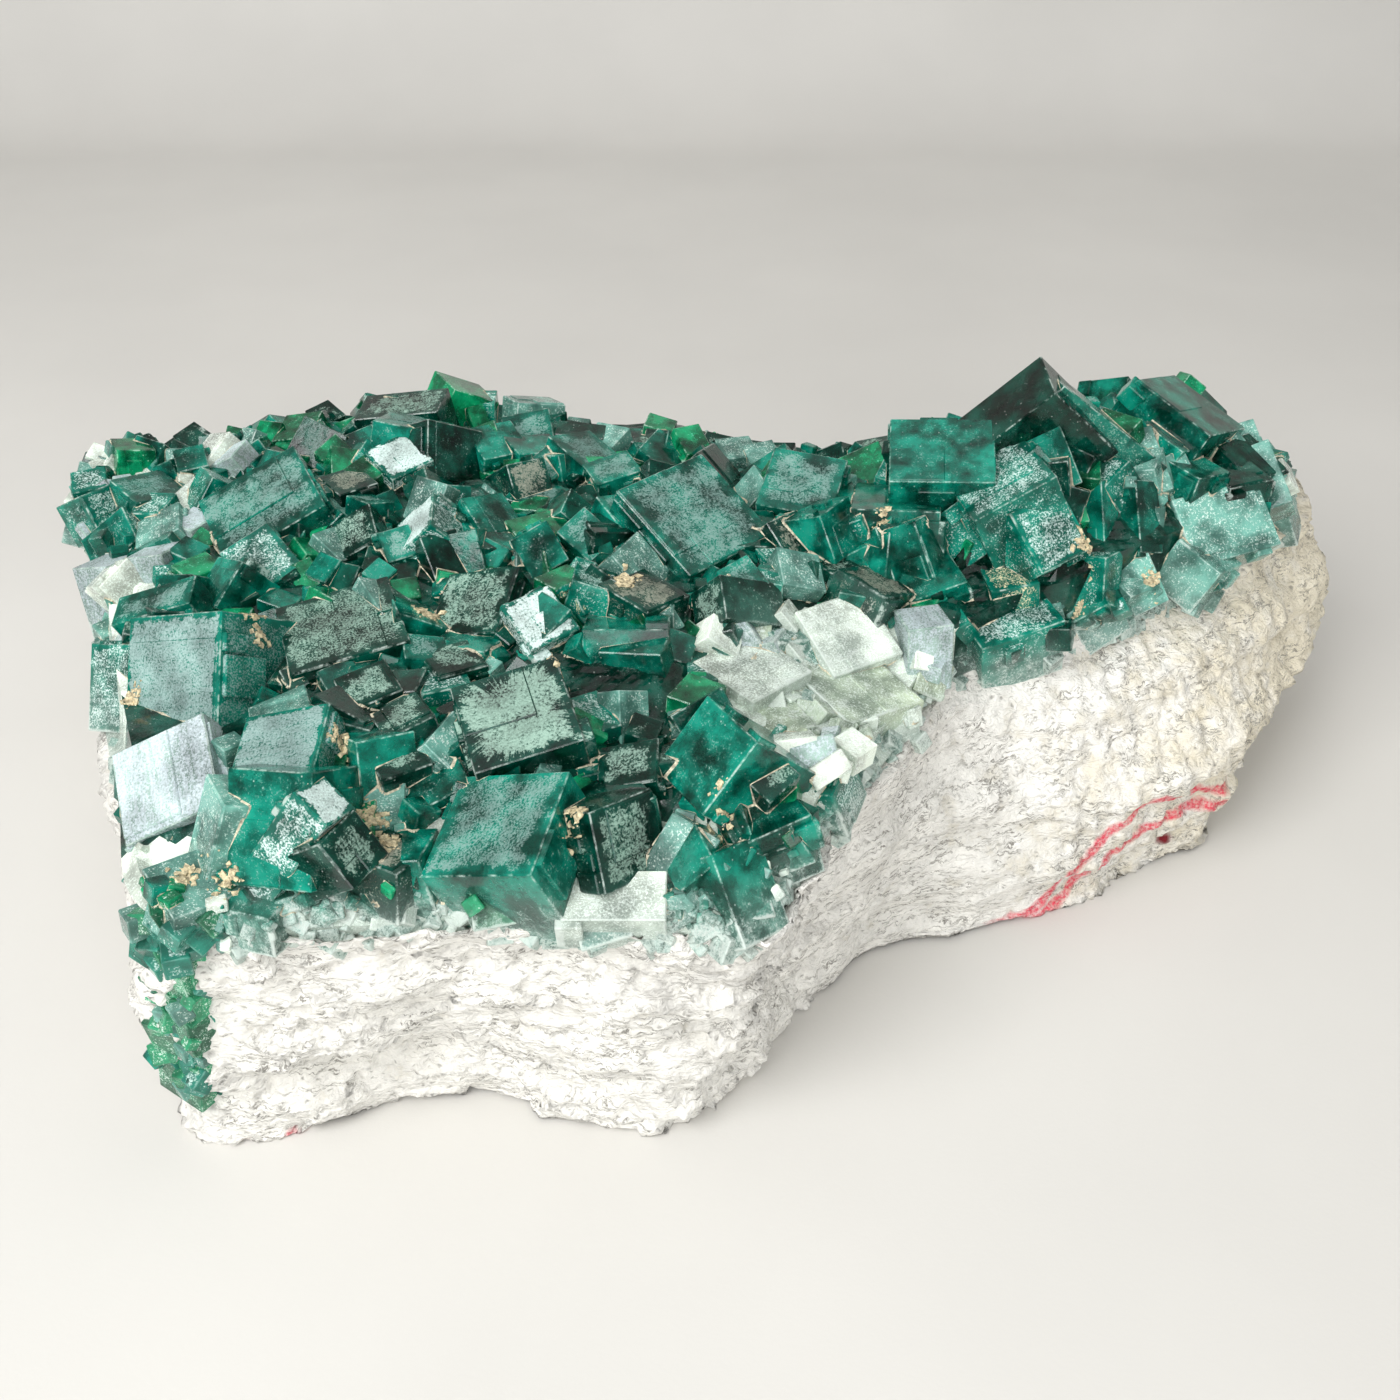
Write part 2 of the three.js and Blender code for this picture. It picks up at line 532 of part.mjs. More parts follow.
function geometryOf(solid) {
  const { vertProperties, triVerts, numProp } = solid.getMesh();
  const flat = [];
  for (let i = 0; i < vertProperties.length; i += numProp) {
    flat.push(vertProperties[i], vertProperties[i + 1], vertProperties[i + 2]);
  }
  const geometry = new THREE.BufferGeometry();
  geometry.setAttribute("position", new THREE.Float32BufferAttribute(flat, 3));
  geometry.setIndex(Array.from(triVerts));
  return geometry;
}

// Joins the sheet and every crystal, and takes away the rock that they grew on
function crustGeometry() {
  const largeOnes = CRYSTALS.map(([, ...numbers]) => crystal(...numbers));
  const rims = [...rimCrystals(BACK_RIM, largeOnes), ...rimCrystals(FRONT_RIM, largeOnes)];
  const fills = [...fillCrystals(BACK_FILL, largeOnes), ...fillCrystals(GAP_FILL, largeOnes)];
  const all = [...largeOnes, ...fills, ...rims, ...veinBlocks()];
  let crust = solidOf(sheetGeometry());
  for (const one of all) {
    crust = crust.add(solidOf(crystalGeometry(one)));
  }
  const cut = crust.subtract(solidOf(grown(rockGeometry(), SEAM_GAP)));
  const pieces = cut.decompose();
  pieces.sort((a, b) => b.volume() - a.volume());
  return geometryOf(pieces[0]);
}

const rockMaterial = new THREE.MeshStandardMaterial({ color: 0xe6e3da, roughness: 0.9, metalness: 0 });
const fluoriteMaterial = new THREE.MeshStandardMaterial({ color: 0x0f5a4a, roughness: 0.25, metalness: 0 });

const matrix = new THREE.Mesh(rockGeometry(), rockMaterial);
matrix.name = "matrix";

const crust = new THREE.Mesh(crustGeometry(), fluoriteMaterial);
crust.name = "fluorite_crust";

const cluster = new THREE.Group();
cluster.add(matrix, crust);
cluster.position.set(-CLUSTER_MIDDLE[0], -CLUSTER_MIDDLE[1], 0);

export default cluster;
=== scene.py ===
import json
import math

import bpy
import numpy as np
from mathutils import Matrix, Vector, noise
from mathutils.bvhtree import BVHTree

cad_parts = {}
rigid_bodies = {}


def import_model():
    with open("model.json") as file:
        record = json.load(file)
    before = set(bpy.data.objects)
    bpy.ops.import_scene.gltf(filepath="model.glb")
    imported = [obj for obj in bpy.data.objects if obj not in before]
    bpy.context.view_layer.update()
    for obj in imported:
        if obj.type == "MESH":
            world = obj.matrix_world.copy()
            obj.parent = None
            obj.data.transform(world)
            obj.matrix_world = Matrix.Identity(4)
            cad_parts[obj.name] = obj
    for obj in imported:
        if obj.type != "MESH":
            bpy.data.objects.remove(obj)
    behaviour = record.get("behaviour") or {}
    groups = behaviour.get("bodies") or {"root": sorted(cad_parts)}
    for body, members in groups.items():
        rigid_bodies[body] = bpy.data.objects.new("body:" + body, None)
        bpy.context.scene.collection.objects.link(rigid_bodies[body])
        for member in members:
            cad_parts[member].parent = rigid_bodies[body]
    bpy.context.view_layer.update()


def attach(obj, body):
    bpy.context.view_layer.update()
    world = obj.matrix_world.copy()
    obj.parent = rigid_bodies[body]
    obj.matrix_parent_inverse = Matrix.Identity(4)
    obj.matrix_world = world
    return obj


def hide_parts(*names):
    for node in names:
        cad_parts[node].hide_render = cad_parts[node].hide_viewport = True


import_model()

bl_info = {
    "name": "Cubic fluorite cluster",
    "version": (1, 0, 0),
    "blender": (4, 5, 0),
    "location": "3D View > Sidebar > Fluorite",
    "description": "Builds a crust of green fluorite cubes on a slab of white rock",
    "category": "Add Mesh",
}

MM = 0.001
SEED = 20

# Driving dimensions of the slab, in millimetres
BROW_HEIGHT = 70.0               # top edge of the white rock above its foot
RIGHT_RISE = 5.0                 # how much higher that edge is at the right end
RISE_STRETCH = (90, 180)         # where along the slab it rises
WAIST_HEIGHT = 36.0              # height at which the rock bulges most
CRUST_TOP = 85.0                 # level of the crust between its crystals
CRUST_ROOT = 10.0                # how deep the crust is keyed into the rock
CLUSTER_MIDDLE = np.array([7.1, 0.0, 0.0])   # plan point of the slab that is the frame's origin
FRONT_STEP = (13.0, 76.0, 106.0)  # fall of the crust along the front edge, and where it starts and ends
BACK_STEP = (13.0, 45.0, 92.0)   # and along the back edge
ROCK_DOME = 0.35                 # share of the crust's rises that the rock under it follows
LAYER_HEIGHT = 21.0              # height from one ledge of the rock to the next
LAYER_DEPTH = 1.1                # how far a ledge stands out
LAYER_DIP = 1 / 14               # fall of the layers towards the right
GROOVE = {
    "left": -110, "height": 16, "run": 9, "fades": (20, 60), "deep": 6, "tall": 6, "back": -60, "right": 0,
}
ROOTING = 3.0                    # how far a crystal goes on below the crust's surface
SHEET_HOLD = 4.0                 # how far a flat crystal may reach below the rock's brow
LEAST_DEEP = 0.6                 # its least depth, as a share of a cube's

# The camera stands in front of the slab and looks 36 degrees down
CAMERA_PLACE = np.array([3.0, -328.0, 284.0])
CAMERA_PITCH = 36.0
CAMERA_LENS = 36.08

# Stations round the slab, from the front left corner and past the front, valley, right lobe and back:
# plan points of the foot, of the waist and of the brow
STATIONS = np.array([
    [-120, -112, -119, -113, -117, -112], [-96, -118, -95, -119, -95, -118],
    [-74, -109, -74, -114, -74, -117], [-50, -105, -48, -112, -50, -114],
    [-25, -108, -26, -114, -28, -115], [1, -112, -2, -117, -4, -118],
    [14, -99, 14, -112, 14, -118], [24, -83, 25, -92, 26, -98],
    [34, -69, 36, -74, 38, -78], [48, -58, 50, -60, 52, -54],
    [70, -50, 72, -46, 68, -28], [90, -44, 92, -38, 88, -15],
    [110, -34, 116, -30, 106, -8], [130, -22, 140, -24, 124, 2],
    [148, -12, 158, -9, 142, 14], [160, 8, 175, 16, 164, 30],
    [160, 35, 200, 52, 188, 60], [168, 66, 208, 82, 193, 86],
    [160, 88, 190, 107, 175, 109], [130, 94, 146, 116, 142, 114],
    [86, 92, 96, 112, 92, 108], [40, 86, 44, 104, 40, 98],
    [-10, 86, -10, 103, -10, 96], [-60, 94, -62, 112, -64, 105],
    [-110, 88, -116, 108, -118, 102], [-158, 80, -172, 96, -170, 88],
    [-172, 62, -188, 70, -187, 68], [-162, 34, -177, 42, -182, 42],
    [-150, 2, -163, 8, -168, 7], [-139, -36, -148, -33, -153, -33],
    [-130, -80, -134, -76, -134, -76],
], float)

BROW_PLAN = np.column_stack([STATIONS[:, 4:6], np.zeros(len(STATIONS))])

# Broad rises and hollows of the crust: plan point, reach and height
CRUST_HILLS = [
    (105, 34, 42, 18), (-85, 20, 60, 9), (0, 12, 42, 10), (-60, -55, 42, 5),
    (44, -44, 26, -9), (150, 45, 30, 5), (-105, -42, 13, -12),
]

# How a crystal's surface looks: body colour, clearness, colour of the coat, how much of the outer face and
# of the sides the coat covers, the clear margin in millimetres, and how feathery and how streaked it is
FINISHES = {
    # The silver and bright coats also paint the reflection of the light on the faces that catch it
    "silver": ("teal", 0.3, "silver", 0.76, 0.5, 0.7, 0.0, 0.5),
    "bright": ("teal", 0.3, "pearl", 0.86, 0.55, 0.5, 0.0, 0.2),
    "frost": ("deep", 0.7, "frost", 0.62, 0.3, 1.4, 0.3, 0.0),
    "brown": ("deep", 0.6, "drab", 0.66, 0.35, 1.4, 0.2, 0.1),
    "feather": ("deep", 0.7, "frost", 0.8, 0.25, 2.0, 1.0, 0.0),
    "dusty": ("teal", 0.65, "slate", 0.64, 0.3, 1.7, 0.4, 0.1),
    "clear": ("teal", 0.75, "slate", 0.3, 0.2, 1.2, 0.2, 0.0),
    "dark": ("deep", 0.85, "slate", 0.24, 0.16, 1.2, 0.0, 0.0),
    "emerald": ("emerald", 0.75, "sea", 0.24, 0.2, 0.7, 0.0, 0.0),
    "mint": ("mint", 0.45, "milk", 0.4, 0.35, 0.3, 0.0, 0.3),
    "pale": ("pale", 0.35, "milk", 0.55, 0.45, 0.0, 0.0, 0.2),
    "olive": ("olive", 0.42, "milk", 0.46, 0.4, 0.0, 0.0, 0.0),
    "white": ("teal", 0.45, "pearl", 0.52, 0.36, 0.9, 0.3, 0.4),
    "rusty": ("teal", 0.3, "clay", 0.5, 0.45, 0.5, 0.0, 0.3),
    "apex": ("teal", 0.55, "frost", 0.7, 0.4, 1.4, 0.0, 0.4),
    "silky": ("ice", 0.3, "satin", 0.72, 0.6, 0.0, 0.0, 1.0),
    "vein": ("emerald", 0.5, "milk", 0.4, 0.4, 0.3, 0.0, 0.3),
}

# The large crystals. Each row holds its finish, the middle of its outer face (x, y, z), the face's width and
# height, how far the face leans from level, the way that it leans, and its turn.
CRYSTALS = [
    ("silver", -122, -57, 92, 32, 33, 56, -127, 22),
    ("white", -143, -45, 82, 18, 22, 60, -130, 20),
    ("silver", -89, -87, 96, 21, 21, 22, -139, 45),
    ("clear", -108, -40, 84, 15, 15, 48, -26, -34),
    ("clear", -87, -107, 90, 21, 25, 59, -113, 11),
    ("mint", -103, -103, 84, 14, 24, 66, -150, 4),
    ("bright", -74, -107, 98, 10, 10, 35, 0, -29),
    ("frost", -68, -113, 90, 12, 12, 53, -28, 2),
    ("frost", -85, -39, 97, 30, 29, 7, -145, -15),
    ("frost", -54, -29, 97, 21, 21, 26, -144, 40),
    ("bright", -36, -39, 99, 14, 15, 24, -62, 10),
    ("brown", -11, -26, 99, 17, 17, 12, 15, 36),
    ("frost", 5, -29, 96, 12, 13, 66, -152, -39),
    ("feather", -38, -77, 98, 25, 25, 18, -103, 31),
    ("dusty", -40, -105, 90, 27, 27, 22, -158, -38),
    ("clear", 4, -88, 95, 20, 20, 46, -148, 0),
    ("clear", 17, -94, 84, 16, 16, 14, 163, 39),
    ("frost", -12, -106, 86, 18, 18, 65, -39, -13),
    ("clear", 13, -112, 76, 11, 11, 32, -41, -27),
    ("pale", -15, -114, 78, 22, 12, 16, -90, 0),
    ("mint", -51, -79, 90, 13, 13, 45, -24, 3),
    ("clear", -15, -47, 92, 21, 15, 70, -90, 0),
    ("clear", 0, -107, 82, 11, 11, 46, -139, -22),
    ("dusty", -118, 16, 101, 31, 31, 24, -134, -20),
    ("bright", -83, 37, 105, 14, 15, 16, -78, 29),
    ("bright", -73, 0, 103, 15, 15, 43, -168, -9),
    ("dusty", -81, 55, 107, 20, 20, 20, 56, 29),
    ("dark", -68, 43, 101, 20, 20, 65, -35, -31),
    ("frost", -89, 75, 104, 15, 27, 10, -155, -31),
    ("dusty", -156, 36, 96, 16, 16, 10, 10, 35),
    ("emerald", -166, 55, 100, 11, 11, 13, 45, -15),
    ("dusty", -133, -31, 99, 10, 22, 22, -143, -35),
    ("clear", -121, -19, 97, 13, 14, 39, -152, 25),
    ("white", -112, -9, 98, 15, 16, 33, -79, 32),
    ("frost", -90, 1, 100, 14, 14, 33, -133, -32),
    ("brown", -96, 28, 102, 12, 13, 2, -71, 19),
    ("frost", -74, -63, 96, 13, 13, 9, -119, -32),
    ("frost", -64, -75, 96, 12, 12, 12, -172, 22),
    ("frost", -64, -84, 92, 12, 12, 12, -59, 0),
    ("brown", -62, -107, 84, 13, 13, 11, 69, -8),
    ("dusty", 2, 5, 104, 31, 32, 25, -50, 3),
    ("dusty", 31, 19, 106, 21, 21, 23, -99, -8),
    ("brown", -45, 31, 100, 12, 12, 55, -54, -5),
    ("clear", -57, 54, 102, 15, 16, 12, -53, -8),
    ("dusty", -30, 48, 102, 17, 17, 20, -3, -41),
    ("dark", -33, 63, 101, 15, 8, 7, -65, -31),
    ("dusty", -22, 34, 103, 13, 14, 8, -142, -15),
    ("dark", -21, 3, 102, 14, 14, 14, 46, -22),
    ("clear", -53, 10, 101, 14, 14, 29, -25, -26),
    ("clear", -39, -8, 100, 11, 12, 54, -90, 30),
    ("emerald", -8, -4, 97, 13, 13, 26, -22, -23),
    ("dusty", 14, -20, 99, 10, 10, 29, -73, 21),
    ("brown", 28, 2, 99, 11, 12, 36, -53, 2),
    ("dark", 10, 34, 102, 16, 17, 44, -1, -22),
    ("mint", 14, 51, 101, 11, 11, 8, -57, -16),
    ("mint", -50, 91, 98, 15, 16, 18, 70, -45),
    ("clear", 68, 16, 117, 28, 23, 21, -103, 7),
    ("apex", 92, 32, 123, 22, 22, 53, -176, 5),
    ("dark", 106, 27, 125, 17, 30, 45, -8, 17),
    ("clear", 145, 50, 115, 27, 27, 24, -6, -38),
    ("white", 82, 8, 113, 24, 24, 27, -165, -3),
    ("white", 95, -5, 104, 18, 18, 44, -64, 10),
    ("dark", 107, 30, 114, 20, 21, 19, 22, 33),
    ("clear", 115, 11, 100, 9, 19, 66, -37, -22),
    ("clear", 126, 12, 99, 10, 20, 59, -46, -21),
    ("mint", 150, 18, 94, 28, 20, 42, -75, 6),
    ("dark", 156, 32, 102, 13, 14, 4, -135, -28),
    ("dark", 162, 40, 103, 15, 16, 22, -53, -1),
    ("pale", 176, 43, 96, 9, 8, 52, -16, 37),
    ("mint", 121, 2, 86, 11, 12, 15, -69, 10),
    ("clear", 107, -4, 84, 12, 12, 59, -150, -35),
    ("clear", 67, 1, 97, 17, 17, 59, -30, -10),
    ("clear", 57, 16, 103, 24, 24, 10, 94, -13),
    ("white", 81, 8, 101, 15, 16, 45, -9, -25),
    ("white", 84, -11, 84, 23, 24, 13, -128, -34),
    ("clear", 41, 1, 101, 14, 14, 65, -38, 1),
    ("brown", 50, -12, 93, 17, 18, 21, 27, 19),
    ("pale", 16, -44, 88, 21, 21, 5, -14, -32),
    ("pale", 41, -29, 88, 21, 21, 24, -61, 0),
    ("olive", 42, -43, 82, 25, 24, 8, -4, 37),
    ("pale", 47, -44, 78, 15, 15, 11, 146, -31),
    ("olive", 19, -58, 84, 18, 18, 7, 73, 37),
    ("silky", -117, -84, 85, 24, 24, 34, -120, -45),
    ("mint", -109, -95, 72, 12, 12, 57, -38, -19),
    ("mint", -118, -92, 62, 13, 13, 56, -52, -7),
    ("pale", -148, -10, 90, 11, 11, 62, -44, 24),
    ("white", -167, 31, 91, 13, 13, 61, -27, -5),
    ("mint", -148, 16, 94, 13, 14, 25, -147, -19),
    ("frost", -56, -51, 95, 13, 13, 3, 31, 0),
    ("clear", -13, -46, 96, 8, 16, 9, -161, -34),
    ("frost", -13, -85, 90, 13, 14, 17, -149, -32),
    ("clear", 63, -6, 92, 17, 17, 16, -136, -29),
    ("rusty", 85, -6, 92, 14, 13, 10, -153, -20),
    ("clear", 138, 40, 110, 16, 15, 24, -1, -44),
    ("clear", 142, 30, 106, 15, 14, 9, 8, 26),
    ("mint", 145, 12, 88, 15, 15, 22, -12, -33),
    ("emerald", -72, 97, 100, 16, 17, 29, 28, 4),
    ("clear", -147, 48, 99, 9, 10, 17, -84, 16),
    ("white", -175, 40, 96, 10, 10, 13, -90, 18),
    ("dusty", -76, -6, 101, 9, 9, 36, -68, 7),
    ("mint", -66, -93, 86, 9, 9, 32, -73, -11),
    ("clear", -89, -114, 76, 10, 10, 11, 101, -32),
    ("frost", 18, -91, 92, 10, 10, 25, -78, 35),
    ("rusty", -25, -27, 98, 9, 9, 49, -27, -15),
    ("emerald", 1, 50, 104, 9, 10, 31, -52, -7),
    ("emerald", -9, 70, 100, 9, 9, 13, -10, -1),
    ("mint", 21, 46, 102, 9, 9, 13, -117, 41),
]

# Smaller crystals in the gaps, and the rows that face out round the crust's rim, as in the solids
BACK_FILL = {"count": 36, "size": (16, 27), "rows": (48, 118), "finish": "shaded"}
GAP_FILL = {"count": 14, "size": (12, 17), "rows": (-105, 48), "finish": "shaded"}
BACK_RIM = {"stations": (17, 27), "count": 15, "size": (15, 26), "over_brow": (6, 20), "finish": "shaded"}
FRONT_RIM = {"stations": (0, 15), "count": 17, "size": (9, 15), "over_brow": (3, 13), "finish": "edge"}
FILL_REACH = (205.0, 0.95)       # half the ground's length, and the share of the brow's reach
FILL_STAND = 0.45                # how high they stand, as a share of their width
FILL_LEAN = (8, 48)
RIM_LEAN = (42, 82)
RIM_SWING = 60                   # how far apart the ways are that they face, in degrees
AHEAD = 0.002                    # a short step along the rim, as a share of the way round

# Broken crumbs of the crust: stretch of stations, into how many parts the set number is shared, heights over
# the brow in millimetres, and their mix of finishes
FRONT_CRUMBS = [
    ((0, 8.5), 1, (-3.0, 8.0), "base"),
    ((8, 16), 2, (-3.0, 5.0), "base"),
    ((28, 31), 3, (-8.0, 8.0), "silk"),
]
BACK_CRUMBS = ((16, 29), 2, (-2.0, 8.0), "rim")
CRUMB_REACH = (-3.0, 1.4)
CRUMB_SIZE = (1.6, 5.5)
RUBBLE_PIECES = 160
RUBBLE_SIZE = (3.0, 11.0)
RUBBLE_MARGIN = 0.98

# Growths on a large crystal, as shares of its width, and cubes in the gaps
PLATES_MOST = 2
PLATE_SHARE = (0.45, 0.96)
PLATE_ROOT = 3.0                 # how deep a plate goes into its crystal, in millimetres
NOTCH_SHARE = (0.14, 0.42)
SATELLITE_SHARE = (0.16, 0.4)
SATELLITE_TURN = 40.0            # how far a satellite may turn from its crystal, in degrees
CRUMB_TURN = 50.0                # and a crumb from facing out
CUBE_ROWS = (-118.0, 114.0)      # front and back edges of the ground that the cubes are tried on
CUBE_SIZE = (4.5, 15.5)
FRONT_MARGIN = 0.91              # shares of the brow's reach that the cubes keep to
BACK_MARGIN = 0.96
LEAST_FOR_PLATES = 11            # narrowest face that has plates, in millimetres
LEAST_FOR_NOTCHES = 8

# The green vein that runs down the front left corner: blocks from its top to its foot
VEIN_STEPS = 6
VEIN_CUBES = 38                  # small cubes on each block
VEIN_TOP = np.array([-111.5, -115.0, 72.0])
VEIN_FOOT = np.array([-118.5, -115.3, 20.0])
VEIN_SIZE = (16.0, 14.0)
VEIN_LEAN = (84, 96)
VEIN_TOWARD = (-140, -110)
VEIN_TURN = (-10, 10)

SIGHT = np.array([0.0, -0.81, 0.59])     # the way that the large faces look out

# The crust's skyline, seen from the camera's place: heights where the sight lines cross a line along X
SKYLINE_Y = 60.0
SKYLINE = np.array([
    [-200, 86], [-191, 94], [-171, 102], [-138, 104], [-116, 110], [-97, 116], [-67, 118], [-50, 113],
    [-36, 108], [-21, 103], [3, 103], [21, 98], [60, 99], [62, 108], [80, 108], [102, 126],
    [123, 117], [132, 121], [146, 124], [166, 109], [177, 96], [189, 79], [204, 57],
], float)
SINK_MOST = 14.0

# Steps of even sequences that never repeat, one for each measure of a small crystal
STEP = {
    "x": 0.7548776662, "y": 0.5698402910, "size": 0.6180339887,
    "lean": 0.4142135624, "toward": 0.7320508076, "turn": 0.2360679775, "luck": 0.377,
}

# Which finishes the small crystals take, by where they sit
MIXES = {
    "shaded": ("dark", "clear", "clear", "dusty", "frost", "emerald", "clear", "brown"),
    "gap": ("clear", "emerald", "dark", "emerald", "clear", "white", "mint", "dusty", "clear", "frost"),
    "rim": ("clear", "mint", "emerald", "white", "clear", "dusty", "mint"),
    "edge": ("clear", "mint", "dusty", "emerald", "white", "clear", "mint"),
    "base": ("mint", "clear", "mint", "white", "mint", "clear", "pale"),
    "vein": ("vein", "clear", "vein", "mint", "vein", "white"),
    "silk": ("silky", "mint", "pale", "white", "clear", "mint"),
    "cloud": ("mint", "mint", "white", "mint", "clear"),
    "valley": ("olive", "pale", "white", "olive", "silky", "pale"),
}
# Stretches of the crust whose small crystals share a mix: ranges of x, of y and of z
ZONES = [
    ("cloud", (112, 190), (-30, 62), (0, 112)),
    ("valley", (8, 66), (-80, -22), (0, 99)),
    ("silk", (-200, -136), (-60, 60), (0, 99)),
    ("edge", (-90, 20), (-130, -104), (0, 90)),
]


# Settings

def linear(code):
    """The linear colour of an sRGB hex code such as #0E5548."""
    parts = [int(code[i:i + 2], 16) / 255 for i in (1, 3, 5)]
    return tuple(v / 12.92 if v <= 0.04045 else ((v + 0.055) / 1.055) ** 2.4 for v in parts)


def colour(name, code, description):
    """A colour setting."""
    return bpy.props.FloatVectorProperty(
        name=name, description=description, subtype="COLOR", size=3, min=0.0, max=1.0, default=linear(code)
    )


def length(name, millimetres, description):
    """A length setting."""
    return bpy.props.FloatProperty(
        name=name, description=description, default=millimetres * MM, unit="LENGTH"
    )


def number(name, default, least, description):
    """A whole number setting."""
    return bpy.props.IntProperty(name=name, description=description, default=default, min=least)


def power(name, watts, description):
    """A lamp's power setting."""
    return bpy.props.FloatProperty(
        name=name, description=description, default=watts, min=0.0, unit="POWER"
    )


class FluoriteColours(bpy.types.PropertyGroup):
    """Colours of the crystals, their coats and the silt between them."""

    deep: colour("Deep green", "#023A2F", "Body of the darkest clear cubes")
    teal: colour("Teal", "#066A59", "Body of the common clear cubes")
    emerald: colour("Emerald", "#087C52", "Body of the bright cubes in the gaps")
    sea: colour("Sea green", "#62AD99", "Body of the light grey green cubes")
    mint: colour("Mint", "#5B8C80", "Body of the cloudy cubes near the rock")
    pale: colour("Pale green", "#D2DACD", "Body of the broken white crystals")
    olive: colour("Pale olive", "#BCC8AC", "Body of the cloudy cubes over the valley")
    # Silver and pearl are frost coats that also paint the reflection of the light on the faces that catch it
    silver: colour("Silver", "#7F9390", "Satin coat of the silvery faces")
    satin: colour("Satin", "#A5AFB4", "Streaked coat of the silky faces")
    pearl: colour("Pearl", "#BCCBC7", "Bright coat of the whitest faces")
    frost: colour("Frost", "#7D9689", "Speckled grey green coat")
    slate: colour("Slate", "#6C857F", "Thin blue grey coat")
    drab: colour("Drab", "#7E8073", "Brown grey coat")
    # Milk also paints the white highlight along the crystals' edges
    milk: colour("Milk", "#C6D0C9", "White bloom of the broken crystals")
    ice: colour("Ice grey", "#8DA59C", "Grey green body of the broken crystals next to the rock")
    clay: colour("Clay", "#DACBA6", "Tan clay left in the gaps")
    silt: colour("Silt", "#CFC7AE", "Cream silt along the seams")


class CrystalSizes(bpy.types.PropertyGroup):
    """Sizes and numbers of the crystals' small features."""

    bevel: length("Edge bevel", 0.28, "Width of the worn edge of a cube")
    growth_step: length("Growth step", 0.5, "Height of the thin plates on the faces")
    small_cubes: number("Small cubes", 1500, 0, "Places tried for small cubes between the large ones")
    rim_crumbs: number("Rim crumbs", 800, 0, "Broken pieces along the front edge of the crust")
    seam_width: length("Seam width", 0.4, "Width of the silt in the seams")


class RockSettings(bpy.types.PropertyGroup):
    """Fineness, roughness and colours of the white rock."""

    columns: number("Columns", 24, 2, "Mesh columns between two stations of the outline")
    rings: number("Rings", 76, 8, "Mesh rings from foot to brow")
    chip_depth: length("Chip depth", 3.0, "Depth of the broken chips")
    white: colour("Rock white", "#EFEDE6", "Clean broken rock")
    grey: colour("Streak grey", "#75726A", "Thin streaks and specks of darker mineral")
    warm: colour("Warm stain", "#E6DABA", "Yellowish weathering")
    crayon: colour("Crayon red", "#DC3550", "Wavy wax crayon lines low on the right lobe")
    spot: colour("Spot red", "#7A1A24", "One small dark red spot below the crayon lines")
    quartz: colour("Quartz grey", "#BDBBB6", "Patches of grey quartz at the front corner")


class StageSettings(bpy.types.PropertyGroup):
    """Floor and light of the studio."""

    floor: colour("Floor", "#D1CFCA", "Pale matt floor")
    key_power: power("Key power", 13.0, "Power of the large soft light")
    fill_power: power("Front power", 10.0, "Power of the weak light from the front")
    top_power: power("Overhead power", 12.5, "Power of the wide light overhead")
    sky: bpy.props.FloatProperty(
        name="Room light", description="Strength of the even light of the room", default=0.34, min=0.0
    )


def smoothstep(value, low, high):
    """0 below low, 1 above high, and a smooth rise between."""
    share = np.clip((value - low) / (high - low), 0.0, 1.0)
    return share * share * (3.0 - 2.0 * share)


def fraction(value):
    return value - np.floor(value)


def lerp(low, high, share):
    return low + (high - low) * share


def even(i, measure, start=0.0):
    """Member i of the even sequence of a measure, from 0 to 1."""
    return fraction(start + i * STEP[measure])


# Shape of the slab, as in the solids

def lumps(x, y, z):
    """Rounded lumps of the rock, broad, middling and small."""
    broad = np.sin(x / 17 + y / 31) * np.sin(y / 19 - z / 23 + 1.3)
    middle = np.sin(x / 9 - z / 11 + 0.7) * np.sin(y / 8 + z / 13)
    small = np.sin(x / 4.3 + z / 5.1) * np.sin(y / 4.7 - z / 3.9 + 2.1)
    return 2.2 * broad + 1.3 * middle + 0.7 * small


def ledges(x, y, z):
    """Ledges where the rock's layers end."""
    phase = 2 * np.pi * (z + x * LAYER_DIP) / LAYER_HEIGHT
    layer = np.sin(phase + 0.6 * np.sin(x / 37 + y / 29))
    return LAYER_DEPTH * np.sign(layer) * np.sqrt(np.abs(layer))


def groove(x, y, z):
    """Depth of the hollow that runs low along the front left side."""
    level = GROOVE["height"] + (x - GROOVE["left"]) / GROOVE["run"]
    along = smoothstep(-x, *GROOVE["fades"]) * (y < GROOVE["back"]) * (x < GROOVE["right"])
    return GROOVE["deep"] * along * np.exp(-(((z - level) / GROOVE["tall"]) ** 2))


def crust_level(x, y):
    """Height of the crust between its crystals."""
    level = CRUST_TOP + 1.4 * np.sin(x / 11 + y / 7) * np.sin(y / 9 - x / 17)
    level = level - FRONT_STEP[0] * smoothstep(-y, FRONT_STEP[1], FRONT_STEP[2])
    level = level - BACK_STEP[0] * smoothstep(y, BACK_STEP[1], BACK_STEP[2])
    for hill_x, hill_y, reach, height in CRUST_HILLS:
        distance = np.hypot(x - hill_x, y - hill_y) / reach
        level = level + height * np.exp(-distance * distance)
    return level


def brow_level(x):
    """Height of the rock's top edge."""
    return BROW_HEIGHT + RIGHT_RISE * smoothstep(x, *RISE_STRETCH)


def rock_top(x, y):
    """The rock's hidden dome under the crust."""
    return brow_level(x) + 1.5 + ROCK_DOME * (crust_level(x, y) - CRUST_TOP)


